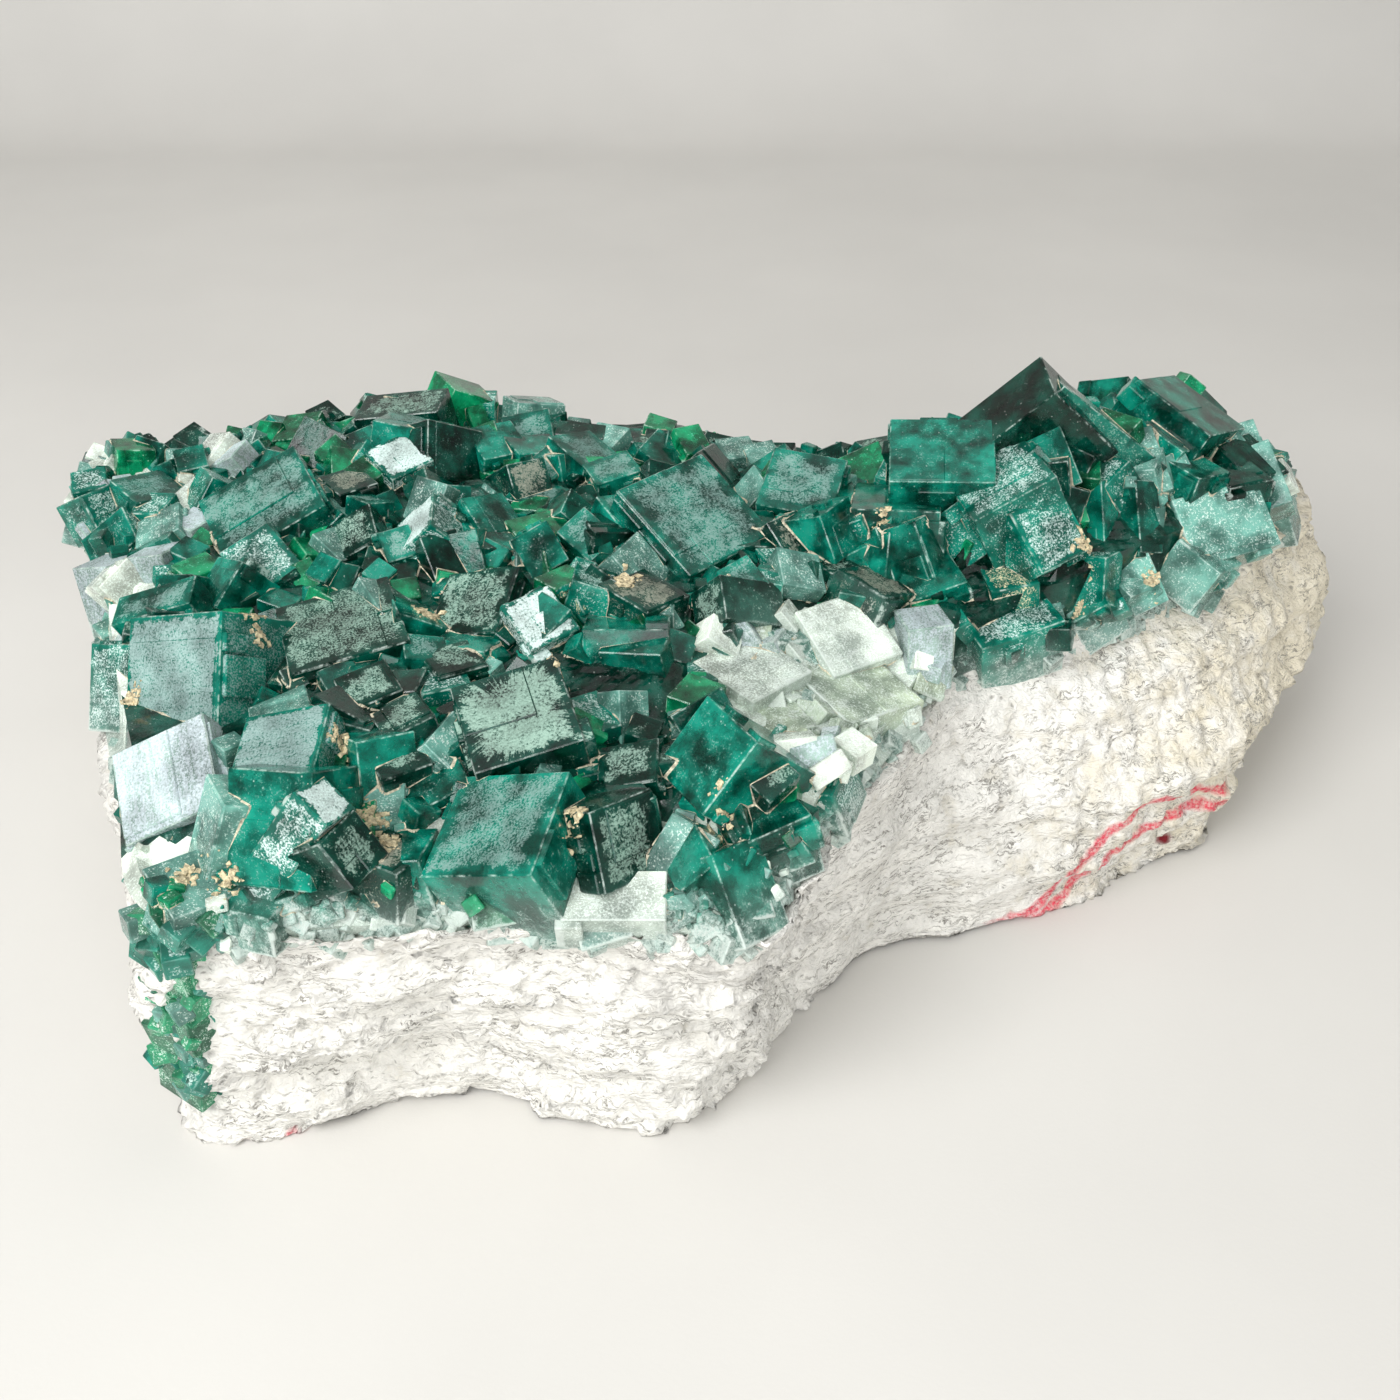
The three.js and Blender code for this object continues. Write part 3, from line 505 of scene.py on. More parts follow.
def between(knots, weight):
    """The centripetal curve between the middle two of four knots."""
    p0, p1, p2, p3 = knots
    pairs = ((p0, p1), (p1, p2), (p2, p3))
    gaps = [np.sqrt(np.linalg.norm(b - a, axis=-1, keepdims=True)) for a, b in pairs]
    d0, d1, d2 = [np.maximum(gap, 1e-4) for gap in gaps]
    start = ((p1 - p0) / d0 - (p2 - p0) / (d0 + d1) + (p2 - p1) / d1) * d1
    end = ((p2 - p1) / d1 - (p3 - p1) / (d1 + d2) + (p3 - p2) / d2) * d1
    bend = -3 * p1 + 3 * p2 - 2 * start - end
    twist = 2 * p1 - 2 * p2 + start + end
    return p1 + start * weight + bend * weight ** 2 + twist * weight ** 3


def on_outline(points, shares):
    """Points of the closed curve through points, at shares of the way round."""
    count = len(points)
    place = np.atleast_1d(shares) % 1.0 * count
    index = np.floor(place).astype(int)
    knots = [points[(index + step) % count] for step in (-1, 0, 1, 2)]
    return between(knots, (place - index)[:, None])


def outline(columns, heights):
    """A fine ring through one plan point and height of every station."""
    points = np.column_stack([columns, heights])
    count = len(STATIONS) * bpy.context.scene.fluorite_rock.columns
    return on_outline(points, np.arange(count) / count)


def brow_ring():
    """The rock's top edge as a fine ring."""
    return outline(STATIONS[:, 4:6], brow_level(STATIONS[:, 4]))


def outward(ring):
    """Unit vectors in plan that point out of a ring."""
    step = np.roll(ring, -1, axis=0) - np.roll(ring, 1, axis=0)
    out = np.column_stack([step[:, 1], -step[:, 0], np.zeros(len(ring))])
    return out / np.linalg.norm(out, axis=1, keepdims=True)


def skin(rings, low_centre, high_centre):
    """Faces and vertices that skin equal rings from the lowest to the highest and close both ends."""
    count = len(rings[0])
    vertices = np.vstack([*rings, low_centre, high_centre])
    low = len(vertices) - 2
    here = np.arange(count)
    after = (here + 1) % count
    faces = []
    for level in range(len(rings) - 1):
        base = level * count
        lower = [base + here, base + after]
        upper = [base + count + after, base + count + here]
        faces += np.column_stack([*lower, *upper]).tolist()
    last = (len(rings) - 1) * count
    faces += np.column_stack([np.full(count, low), after, here]).tolist()
    faces += np.column_stack([np.full(count, low + 1), last + here, last + after]).tolist()
    return vertices, faces


def toward_middle(ring, share, height_of):
    """A ring drawn in to a share of its reach, at heights of its own."""
    drawn = ring * share
    drawn[:, 2] = height_of(drawn[:, 0], drawn[:, 1])
    return drawn


# Meshes

def put(name, data, collection=None):
    """An object with the data, in the scene or in a collection."""
    thing = bpy.data.objects.new(name, data)
    (collection or bpy.context.scene.collection).objects.link(thing)
    return thing


def mesh_object(name, vertices, faces, material=None, collection=None):
    """An object from millimetre vertices in the slab's own plan."""
    mesh = bpy.data.meshes.new(name)
    mesh.from_pydata(((np.asarray(vertices) - CLUSTER_MIDDLE) * MM).tolist(), [], faces)
    mesh.update()
    if material is not None:
        mesh.materials.append(material)
    return put(name, mesh, collection)


def mesh_array(items, field, width=1, kind=float):
    """One value or vector of every item of a mesh, as an array."""
    values = np.empty(len(items) * width, kind)
    items.foreach_get(field, values)
    return values.reshape(-1, width) if width > 1 else values


def corners_mm(mesh):
    """A mesh's corners in millimetres in the slab's own plan."""
    return mesh_array(mesh.vertices, "co", 3) / MM + CLUSTER_MIDDLE


def store(mesh, name, kind, domain, values):
    """Keeps values on a mesh, under the name that the materials read."""
    field = {"FLOAT_VECTOR": "vector", "FLOAT_COLOR": "color"}.get(kind, "value")
    mesh.attributes.new(name, kind, domain).data.foreach_set(field, np.ravel(values))


def hand_over(piece, slot, *nodes):
    """Ties a finished piece to the frame."""
    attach(piece, "root")
    if nodes:
        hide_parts(*nodes)


def chips(point, size, depth):
    """Flat chips of broken rock: each cell of the given size has its own level and tilt."""
    scaled = Vector((point[0] / size, point[1] / size, point[2] / (0.55 * size)))
    nearest = noise.voronoi(scaled)[1][0]
    tilt = noise.noise_vector(nearest * 7.3)
    return depth * (tilt.z + 1.3 * (scaled - nearest).dot(tilt))


def rock_surface(ring, out):
    """The ring with the broken rock's relief, from ledges down to grains."""
    depth = bpy.context.scene.fluorite_rock.chip_depth / MM
    x, y, z = ring.T
    push = lumps(x, y, z) + ledges(x, y, z) - groove(x, y, z)
    # The front is calmer under the valley, from x 22 to 112
    calm = 1 - 0.65 * smoothstep(x, 22, 40) * smoothstep(-x, -112, -90) * (y < 0)
    lobe = smoothstep(x, 80, 110)
    for i, point in enumerate(ring):
        p = Vector(point)
        bent = p + 3.0 * noise.noise_vector(p / 8)
        # Chips of three sizes, the smallest flattened along the layers
        relief = chips(bent, 17.0, depth) + chips(bent + Vector((31, 7, 3)), 7.5, 0.36 * depth)
        flake = Vector((bent.x, bent.y, 1.9 * (bent.z + bent.x * LAYER_DIP)))
        relief += chips(flake + Vector((5, 61, 13)), 3.6, 0.2 * depth)
        relief *= 1.0 - 0.5 * lobe[i]
        # Uneven folds and knobs that run down the right lobe
        fold = Vector((p.x / 10 + p.z / 18, p.y / 11, p.z / 24)) + 0.7 * noise.noise_vector(p / 15)
        relief += lobe[i] * (2.6 * abs(noise.fractal(fold, 1.0, 2.0, 4)) + 1.3 * noise.noise(p / 5.5))
        # Thin layers that end in small overhanging steps
        layer = (p.z + p.x * LAYER_DIP + 5 * noise.noise(p / 21)) / 5.2
        patch = noise.noise(Vector((p.x / 11, p.y / 11, math.floor(layer))))
        stepped = (layer % 1.0 - 0.5) * max(0.0, 0.5 + 1.6 * patch)
        grain = noise.fractal(p / 2.3, 1.0, 2.0, 3)
        pit = max(0.0, noise.noise(p / 3.1 + Vector((9, 9, 9))) - 0.28)
        push[i] += calm[i] * (relief + 1.5 * stepped - 3.0 * pit) + 0.22 * grain
    return ring + out * push[:, None]


# Rings of the underside, as shares of the foot's reach and of its height, and of the hidden top
UNDER_RINGS = [(0.78, 0.0), (0.9, 0.5)]
TOP_RINGS = (0.985, 0.93, 0.5)


class FLUORITE_OT_rock(bpy.types.Operator):
    """Builds the white rock slab: broken sides with ledges, chips and strata, over an arched foot"""

    bl_idname = "fluorite.rock"
    bl_label = "White rock"

    def execute(self, context):
        sizes = context.scene.fluorite_rock
        # The noise takes its offsets from this seed, and otherwise from the clock
        noise.seed_set(SEED)
        foot = outline(STATIONS[:, 0:2], np.zeros(len(STATIONS)))
        waist = outline(STATIONS[:, 2:4], np.full(len(STATIONS), WAIST_HEIGHT))
        brow = brow_ring()
        sides = []
        for share in np.linspace(0, 1, sizes.rings):
            if share <= 0.5:
                knots, weight = (2 * foot - waist, foot, waist, brow), 2 * share
            else:
                knots, weight = (foot, waist, brow, 2 * brow - waist), 2 * share - 1
            ring = between(knots, weight)
            sides.append(rock_surface(ring, outward(ring)))
        sides[0][:, 2] = foot_arch(sides[0])
        under = [sides[0] * np.array([share, share, rise]) for share, rise in UNDER_RINGS]
        tops = [toward_middle(brow, share, rock_top) for share in TOP_RINGS]
        tops[0][:, 2] -= 0.8
        centre = np.array([0.0, 0.0, 0.0])
        crown = np.array([0.0, 0.0, rock_top(0.0, 0.0)])
        vertices, faces = skin([*under, *sides, *tops], centre, crown)
        rock = mesh_object("white_rock", vertices, faces, rock_material(sizes))
        rock.data.polygons.foreach_set("use_smooth", [True] * len(faces))
        mark_crayon(rock)
        hand_over(rock, "rock", "matrix")
        return {"FINISHED"}


# Low arches under the front: where each is along the slab, its reach and its height
FOOT_ARCHES = [(-46.0, 18.0, 3.0), (66.0, 24.0, 3.0), (-84.0, 9.0, 1.5), (150.0, 14.0, 2.0)]


def foot_arch(ring):
    """Heights of the rock's lower edge, which stands off the ground in places."""
    rise = np.zeros(len(ring))
    for middle, reach, height in FOOT_ARCHES:
        rise += height * np.exp(-(((ring[:, 0] - middle) / reach) ** 2))
    wobble = 0.7 * np.abs(np.sin(ring[:, 0] / 5.3) * np.sin(ring[:, 0] / 2.9 + 1))
    return (rise + wobble) * smoothstep(-ring[:, 1], -20, 10)


# The two crayon lines on the right lobe, as heights above the rock's foot at places along the slab
CRAYON_LINES = [
    [(88, 0), (96, 2), (102, 6), (106, 14), (113, 20), (117, 25), (127, 31), (133, 32), (144, 27), (153, 23),
     (165, 22)],
    [(95, 0), (106, 2), (110, 7), (115, 10), (118, 16), (124, 18), (130, 20), (139, 22), (145, 21), (152, 19),
     (165, 18)],
]
# Other marks on the rock: middle and reach of the crayon smears, of the dark red spot and of the grey quartz
SMEARS = [((-114, -112, 2), 4.0), ((-106, -115, 1), 2.5), ((-95, -117, 1), 2.0)]
RED_SPOT = [((139.0, -19.0, 9.0), 2.8)]
QUARTZ = [((-1, -117, 49), 7.0), ((-9, -115, 53), 6.0), ((9, -119, 56), 8.0), ((18, -105, 40), 7.0)]


def mark_crayon(rock):
    """Stores each corner's height above both crayon lines, whether they show, and the other marks."""
    points = corners_mm(rock.data)
    x, y, z = points.T
    offsets = []
    for line in CRAYON_LINES:
        at, height = np.array(line, float).T
        wave = 0.4 * np.sin(x / 3.3) + 0.2 * np.sin(x / 1.1 + z / 2)
        slope = np.interp(x, (at[1:] + at[:-1]) / 2, np.diff(height) / np.diff(at))
        offsets.append((z - np.interp(x, at, height) - wave) / np.hypot(1.0, slope))
    shown = smoothstep(x, 80, 88) * smoothstep(-x, -159, -155) * (y < 30)
    store(rock.data, "crayon", "FLOAT_VECTOR", "POINT", np.column_stack([*offsets, shown]))
    marks = np.zeros((len(points), 3))
    for column, spots in enumerate((SMEARS, RED_SPOT, QUARTZ)):
        for middle, reach in spots:
            apart = np.linalg.norm(points - np.array(middle), axis=1) / reach
            marks[:, column] = np.maximum(marks[:, column], smoothstep(-apart, -1.2, -0.5))
    store(rock.data, "marks", "FLOAT_VECTOR", "POINT", marks)


# Crystals

def facing(lean, toward, turn):
    """Rows along, across and out of a face with the given lean, heading and turn in degrees."""
    tilt, heading, spin = np.radians([lean, toward, turn])
    flat = math.sin(tilt)
    normal = np.array([flat * math.cos(heading), flat * math.sin(heading), math.cos(tilt)])
    level = np.array([-math.sin(heading), math.cos(heading), 0.0])
    rise = np.cross(normal, level)
    along = level * math.cos(spin) + rise * math.sin(spin)
    return np.array([along, np.cross(normal, along), normal])


BOX_CORNERS = np.array([(i & 1, i >> 1 & 1, i >> 2 & 1) for i in range(8)])


class Block:
    """One cube or slab: the middle of its outer face, its axes as rows, its sizes, and its finish."""

    def __init__(self, middle, axes, size, finish, luck=0.0, home=None):
        self.middle = np.array(middle, float)
        self.axes = axes
        self.size = np.array(size, float)
        self.finish = finish
        self.luck = luck
        self.centre = self.middle - axes[2] * self.size[2] / 2
        # The crystal whose pattern this block carries on
        self.home = home or self

    def grown(self, middle, size):
        """A parallel block that carries on this one's pattern."""
        return Block(middle, self.axes, size, self.finish, self.luck, self)

    def corners(self):
        return self.centre + (BOX_CORNERS - 0.5) * self.size @ self.axes


def crystal(finish, x, y, z, wide, high, lean, toward, turn, luck=0.0):
    """A cube deep enough to be rooted in the crust, which it doesn't pass right through."""
    axes = facing(lean, toward, turn)
    rooted = (z - crust_level(x, y) + ROOTING) / max(axes[2][2], 0.5)
    through = (z - brow_level(x) + SHEET_HOLD) / max(axes[2][2], 0.5)
    cube = (wide + high) / 2
    deep = max(min(cube, max(through, LEAST_DEEP * cube)), rooted)
    return Block((x, y, z), axes, (wide, high, deep), finish, luck)


LOOKS_UP = 0.35                  # least rise of a face that the small crystals keep under
NEARLY_LEVEL = 0.6               # and of one whose height they follow


class Bed:
    """The surface that the small crystals stand on, just under the large faces and between them."""

    def __init__(self, blocks):
        self.blocks = [b for b in blocks if b.axes[2][2] > LOOKS_UP]
        self.tops = np.array([b.middle for b in blocks if b.axes[2][2] > NEARLY_LEVEL])

    def top(self, x, y):
        """Height of the large faces round a point."""
        apart = np.hypot(x[:, None] - self.tops[:, 0], y[:, None] - self.tops[:, 1]) + 1.0
        weight = apart ** -3
        return (weight * self.tops[:, 2]).sum(axis=1) / weight.sum(axis=1)

    def level(self, x, y):
        x, y = np.atleast_1d(x).astype(float), np.atleast_1d(y).astype(float)
        level = self.top(x, y) - 5.0
        for block in self.blocks:
            normal = block.axes[2]
            apart = np.column_stack([x, y, np.zeros(len(x))]) - block.middle
            apart[:, 2] = -(apart[:, :2] @ normal[:2]) / normal[2]
            across = np.abs(apart @ block.axes[:2].T)
            over = (across < block.size[:2] / 2 + 0.8).all(axis=1)
            plane = block.middle[2] + apart[:, 2]
            level = np.where(over, np.minimum(level, plane - 2.0), level)
        return np.maximum(level, crust_level(x, y))


class Sight:
    """The large faces, which small crystals must not hide."""

    def __init__(self, blocks):
        self.middles = np.array([b.middle for b in blocks])
        self.axes = np.array([b.axes for b in blocks])
        self.half = np.array([b.size[:2] / 2 for b in blocks])
        self.slopes = self.axes[:, 2] @ SIGHT

    def clear(self, block, spare=0.3):
        points = np.vstack([block.middle, block.corners()])
        apart = points[:, None, :] - self.middles[None]
        above = np.einsum("pli,li->pl", apart, self.axes[:, 2])
        slopes = np.where(self.slopes < 0.05, 1.0, self.slopes)
        foot = apart - SIGHT * (above / slopes)[..., None]
        across = np.abs(np.einsum("pli,lki->plk", foot, self.axes[:, :2]))
        inside = (across < self.half).all(axis=2)
        hidden = inside & (above > spare) & (self.slopes >= 0.05)
        return not hidden.any()


def sinks(block):
    """Lowers a crystal until no corner stands above the skyline, and tells whether that was a short way."""
    corners = block.corners()
    far = (corners[:, 1] - CAMERA_PLACE[1]) / (SKYLINE_Y - CAMERA_PLACE[1])
    at = CAMERA_PLACE[0] + (corners[:, 0] - CAMERA_PLACE[0]) / far
    allowed = CAMERA_PLACE[2] - (CAMERA_PLACE[2] - np.interp(at, *SKYLINE.T)) * far
    drop = max(0.0, (corners[:, 2] - allowed).max())
    block.middle[2] -= drop
    block.centre[2] -= drop
    return drop <= SINK_MOST


def inside_brow(x, y, margin):
    """Whether a plan point is inside the brow, at a share of its reach."""
    ring = STATIONS[:, 4:6] * margin
    after = np.roll(ring, -1, axis=0)
    crosses = (ring[:, 1] > y) != (after[:, 1] > y)
    rise = np.where(crosses, after[:, 1] - ring[:, 1], 1.0)
    at = (after[:, 0] - ring[:, 0]) * (y - ring[:, 1]) / rise + ring[:, 0]
    return bool(np.count_nonzero(crosses & (x < at)) % 2)


def pick(mix, luck, place=None):
    """A finish of the mix, or of the zone's own mix where the place is in one."""
    if place is not None:
        for zone, *ranges in ZONES:
            if all(low < value < high for value, (low, high) in zip(place, ranges)):
                mix = zone
    names = MIXES[mix]
    return names[int(luck * len(names)) % len(names)]


def fill_crystals(fill, sight):
    """Crystals spread evenly over a stretch of the crust, where they hide no large face."""
    blocks = []
    for i in range(1, fill["count"] + 1):
        x = lerp(-FILL_REACH[0], FILL_REACH[0], even(i, "x", 0.5))
        y = lerp(*fill["rows"], even(i, "y", 0.5))
        size = lerp(*fill["size"], even(i, "size"))
        lean = lerp(*FILL_LEAN, even(i, "lean"))
        toward = 360 * even(i, "toward")
        turn = 90 * even(i, "turn")
        if inside_brow(x, y, FILL_REACH[1]):
            z = crust_level(x, y) + FILL_STAND * size
            luck = even(i, "luck")
            finish = pick(fill["finish"], luck, (x, y, z))
            one = crystal(finish, x, y, z, size, size, lean, toward, turn, luck)
            if sinks(one) and sight.clear(one):
                blocks.append(one)
    return blocks


def rim_crystals(rim, sight):
    """Crystals that face out along a stretch of the rim."""
    blocks = []
    first, last = rim["stations"]
    for i in range(rim["count"]):
        share = (first + (last - first) * i / rim["count"]) / len(STATIONS)
        at, ahead = on_outline(BROW_PLAN, [share, share + AHEAD])
        along = ahead - at
        out = math.degrees(math.atan2(-along[0], along[1]))
        size = lerp(*rim["size"], even(i, "size", 0.3))
        lean = lerp(*RIM_LEAN, even(i, "lean"))
        toward = out + RIM_SWING * (even(i, "toward") - 0.5)
        turn = 90 * even(i, "turn")
        z = brow_level(at[0]) + lerp(*rim["over_brow"], even(i, "y", 0.2))
        luck = even(i, "luck")
        finish = pick(rim["finish"], luck, (at[0], at[1], z))
        one = crystal(finish, at[0], at[1], z, size, size, lean, toward, turn, luck)
        if sinks(one) and sight.clear(one):
            blocks.append(one)
    return blocks


def vein_blocks():
    """Blocks of the green vein, from its top to its foot."""
    blocks = []
    for i in range(VEIN_STEPS):
        share = i / (VEIN_STEPS - 1)
        size = lerp(*VEIN_SIZE, share)
        lean = lerp(*VEIN_LEAN, even(i, "lean"))
        toward = lerp(*VEIN_TOWARD, even(i, "toward"))
        turn = lerp(*VEIN_TURN, even(i, "turn"))
        middle = lerp(VEIN_TOP, VEIN_FOOT, share)
        finish = "vein" if i else "mint"
        blocks.append(Block(middle, facing(lean, toward, turn), (size,) * 3, finish, share))
    return blocks


def growth_plates(big, rng, step):
    """Thin plates that stand on a large face and share two of its edges."""
    plates = []
    face = big.size[:2]
    for _ in range(rng.integers(0, PLATES_MOST + 1)):
        share = rng.uniform(*PLATE_SHARE, 2)
        size = face * share
        shift = (face - size) / 2 - rng.uniform(0.0, 0.5, 2)
        shift *= rng.choice([-1, 1], 2)
        rise = step * rng.uniform(0.3, 1.0)
        middle = big.middle + shift @ big.axes[:2] + big.axes[2] * rise
        plates.append(big.grown(middle, (*size, rise + PLATE_ROOT)))
    return plates


def edge_notches(big, rng):
    """Small parallel cubes that break the straight edges of a large one."""
    notches = []
    for _ in range(2 + int(big.size[:2].mean() / 7)):
        axis = rng.integers(0, 2)
        side = rng.choice([-1, 1])
        size = big.size[:2].mean() * rng.uniform(*NOTCH_SHARE)
        out = rng.uniform(0.3, 1.5)
        shift = np.zeros(3)
        shift[axis] = side * (big.size[axis] / 2 + out - size / 2)
        shift[1 - axis] = rng.uniform(-0.45, 0.45) * big.size[1 - axis]
        shift[2] = -rng.uniform(0.4, 0.16 * big.size[2])
        middle = big.middle + shift @ big.axes
        notches.append(big.grown(middle, (size, size * rng.uniform(0.7, 1.3), size * 1.4)))
    return notches


def turned(axes, angle, rng):
    """Axes turned by up to an angle in degrees about a random line."""
    line = Vector(rng.normal(size=3)).normalized()
    turn = np.array(Matrix.Rotation(math.radians(angle * rng.uniform(0.3, 1.0)), 3, line))
    return axes @ turn.T


def satellites(big, count, mix, rng, sight=None):
    """Small cubes that grow out of a large one's sides."""
    found = []
    for _ in range(count):
        axis = rng.integers(0, 2 if sight else 3)
        side = rng.choice([-1, 1])
        size = big.size[:2].mean() * rng.uniform(*SATELLITE_SHARE)
        place = rng.uniform(-0.5, 0.5, 3) * big.size
        place[axis] = side * (big.size[axis] / 2 - 0.2 * size)
        centre = big.centre + place @ big.axes
        axes = turned(big.axes, SATELLITE_TURN, rng)
        outer = np.argmax(axes @ (SIGHT + np.array([0.0, 0.0, 0.4])))
        axes = np.roll(axes, 2 - outer, axis=0)
        luck = rng.random()
        finish = pick(mix, luck, centre if sight else None)
        one = Block(centre + axes[2] * size / 2, axes, (size, size, size), finish, luck)
        if sight is None or (sinks(one) and sight.clear(one, 0.6)):
            found.append(one)
    return found


def small_cubes(count, bed, sight, rng):
    """Small cubes in the gaps, nearly as high as the large faces round them."""
    blocks = []
    for i in range(1, count + 1):
        x = lerp(-FILL_REACH[0], FILL_REACH[0], even(i, "x", 0.1))
        y = lerp(*CUBE_ROWS, even(i, "y", 0.3))
        if not inside_brow(x, y, FRONT_MARGIN if y < 0 else BACK_MARGIN):
            continue
        size = lerp(*CUBE_SIZE, rng.random() ** 2)
        axes = facing(55 * rng.random(), 360 * rng.random(), 90 * rng.random())
        low = bed.level(x, y)[0]
        high = min(low + 0.5 * size, bed.top(np.array([x]), np.array([y]))[0] + 1.0)
        shape = np.array([size, size * rng.uniform(0.8, 1.2), size * 1.5])
        luck = rng.random()
        # The cube sinks until it hides no large face
        for drop in np.arange(0.0, 0.9 * size, 1.5):
            one = Block((x, y, high - drop), axes, shape, pick("gap", luck, (x, y, high)), luck)
            if sinks(one) and sight.clear(one, 0.5):
                blocks.append(one)
                break
    return blocks


def crumbs(stretch, count, heights, mix, rng):
    """Broken pieces along a stretch of the rim, between two heights over the brow."""
    shares = rng.uniform(*stretch, count) / len(STATIONS)
    blocks = []
    for at, after in zip(on_outline(BROW_PLAN, shares), on_outline(BROW_PLAN, shares + AHEAD)):
        along = after - at
        out = np.array([along[1], -along[0], 0.0]) / np.linalg.norm(along)
        height = rng.random()
        middle = at + out * (rng.uniform(*CRUMB_REACH) - 3.0 * height)
        middle[2] = brow_level(at[0]) + lerp(*heights, height)
        width = lerp(*CRUMB_SIZE, rng.random() ** 1.6)
        toward = math.degrees(math.atan2(out[1], out[0]))
        axes = turned(facing(60.0, toward, 90 * rng.random()), CRUMB_TURN, rng)
        luck = rng.random()
        shape = width * rng.uniform(0.6, 1.3, 3)
        blocks.append(Block(middle, axes, shape, pick(mix, luck), luck))
    return blocks


def rubble(count, bed, rng):
    """Broken cloudy pieces over the valley, where the crust was knocked."""
    _, along, across, _ = next(zone for zone in ZONES if zone[0] == "valley")
    blocks = []
    for _ in range(count):
        x, y = rng.uniform(*along), rng.uniform(*across)
        size = lerp(*RUBBLE_SIZE, rng.random() ** 1.5)
        axes = facing(75 * rng.random(), 360 * rng.random(), 90 * rng.random())
        luck = rng.random()
        if inside_brow(x, y, RUBBLE_MARGIN):
            middle = (x, y, bed.level(x, y)[0] + 0.45 * size)
            blocks.append(Block(middle, axes, size * rng.uniform(0.6, 1.3, 3), pick("valley", luck), luck))
    return blocks


def bevelled_topology():
    """Faces of a bevelled box whose vertex 3 * corner + axis lies on the face across that axis."""
    signs = BOX_CORNERS * 2 - 1
    rest = np.array([signs[c] * (1.0 - 0.1 * (np.arange(3) != a)) for c in range(8) for a in range(3)])
    faces = []
    for axis in range(3):
        others = [a for a in range(3) if a != axis]
        for side in (-1, 1):
            ring = [c for s, t in ((-1, -1), (1, -1), (1, 1), (-1, 1)) for c in range(8)
                    if signs[c][axis] == side and signs[c][others[0]] == s and signs[c][others[1]] == t]
            faces.append([3 * c + axis for c in ring])
        for s in (-1, 1):
            for t in (-1, 1):
                pair = [c for c in range(8) if signs[c][others[0]] == s and signs[c][others[1]] == t]
                faces.append([3 * pair[0] + others[0], 3 * pair[1] + others[0],
                              3 * pair[1] + others[1], 3 * pair[0] + others[1]])
    faces += [[3 * c, 3 * c + 1, 3 * c + 2] for c in range(8)]
    for face in faces:
        a, b, c = rest[face[0]], rest[face[1]], rest[face[2]]
        if np.cross(b - a, c - b) @ rest[face].mean(axis=0) < 0:
            face.reverse()
    return signs, faces


CORNER_SIGNS, BOX_FACES = bevelled_topology()


def block_mesh(block, index, bevel, collection):
    """One block as a bevelled box whose faces hold the block's number."""
    half = block.size / 2
    inset = min(bevel, 0.12 * block.size.min())
    local = [CORNER_SIGNS[c] * (half - inset * (np.arange(3) != a)) for c in range(8) for a in range(3)]
    vertices = block.centre + np.array(local) @ block.axes
    thing = mesh_object("block", vertices, BOX_FACES, None, collection)
    store(thing.data, "block", "INT", "FACE", [index] * len(BOX_FACES))


def sheet_object(index, bed):
    """The sheet of massive fluorite that the crystals stand on."""
    brow = brow_ring()[::3]
    out = outward(brow)

    def ring(reach, up):
        moved = brow + out * reach
        moved[:, 2] = brow_level(brow[:, 0]) + up + 0.5 * lumps(moved[:, 0], moved[:, 1], up)
        return moved

    root = ring(0.0, -CRUST_ROOT)
    root[:, :2] *= 0.94
    rings = [root, ring(-1.5, -1.5), ring(-0.5, 1.5), ring(-4.0, 4.5)]
    for share in np.linspace(0.955, 0.02, 54):
        inner = toward_middle(brow, share, crust_level)
        raised = bed.level(inner[:, 0], inner[:, 1])
        rough = [0.8 * noise.noise(Vector(point) / 2.5) for point in inner]
        inner[:, 2] = lerp(inner[:, 2], raised, smoothstep(1 - share, 0.05, 0.12)) + rough
        rings.append(inner)
    centre = np.array([0.0, 0.0, BROW_HEIGHT - CRUST_ROOT])
    crown = np.array([0.0, 0.0, bed.level(0, 0)[0]])
    vertices, faces = skin(rings, centre, crown)
    # Every four-sided face in two halves, and the others as they are
    halves = [(face[:3], [face[0], *face[2:]]) if len(face) == 4 else (face,) for face in faces]
    faces = [half for pair in halves for half in pair]
    thing = mesh_object("sheet", vertices, faces)
    store(thing.data, "block", "INT", "FACE", [index] * len(faces))
    return thing


def joined(name, blocks, bevel, base, material):
    """One closed mesh of all blocks and the base, which keeps every face's block number."""
    parts = bpy.data.collections.new("parts")
    bpy.context.scene.collection.children.link(parts)
    for index, block in enumerate(blocks):
        block_mesh(block, index, bevel, parts)
    union = base.modifiers.new("union", "BOOLEAN")
    union.operation = "UNION"
    union.operand_type = "COLLECTION"
    union.collection = parts
    union.solver = "MANIFOLD"
    context = bpy.context.evaluated_depsgraph_get()
    mesh = bpy.data.meshes.new_from_object(base.evaluated_get(context))
    for thing in [*parts.objects, base]:
        old = thing.data
        bpy.data.objects.remove(thing)
        bpy.data.meshes.remove(old)
    bpy.data.collections.remove(parts)
    mesh.name = name
    mesh.materials.clear()
    mesh.materials.append(material)
    return put(name, mesh)


# The sheet between the crystals counts as two huge ones: the first is deep green that also paints the shade
# in the gaps, the second takes the stretches next to the rock
SHEET_FINISHES = ("dark", "pale")
SHEET_SIZE = 2000.0
SHEET_LUCK = 0.37


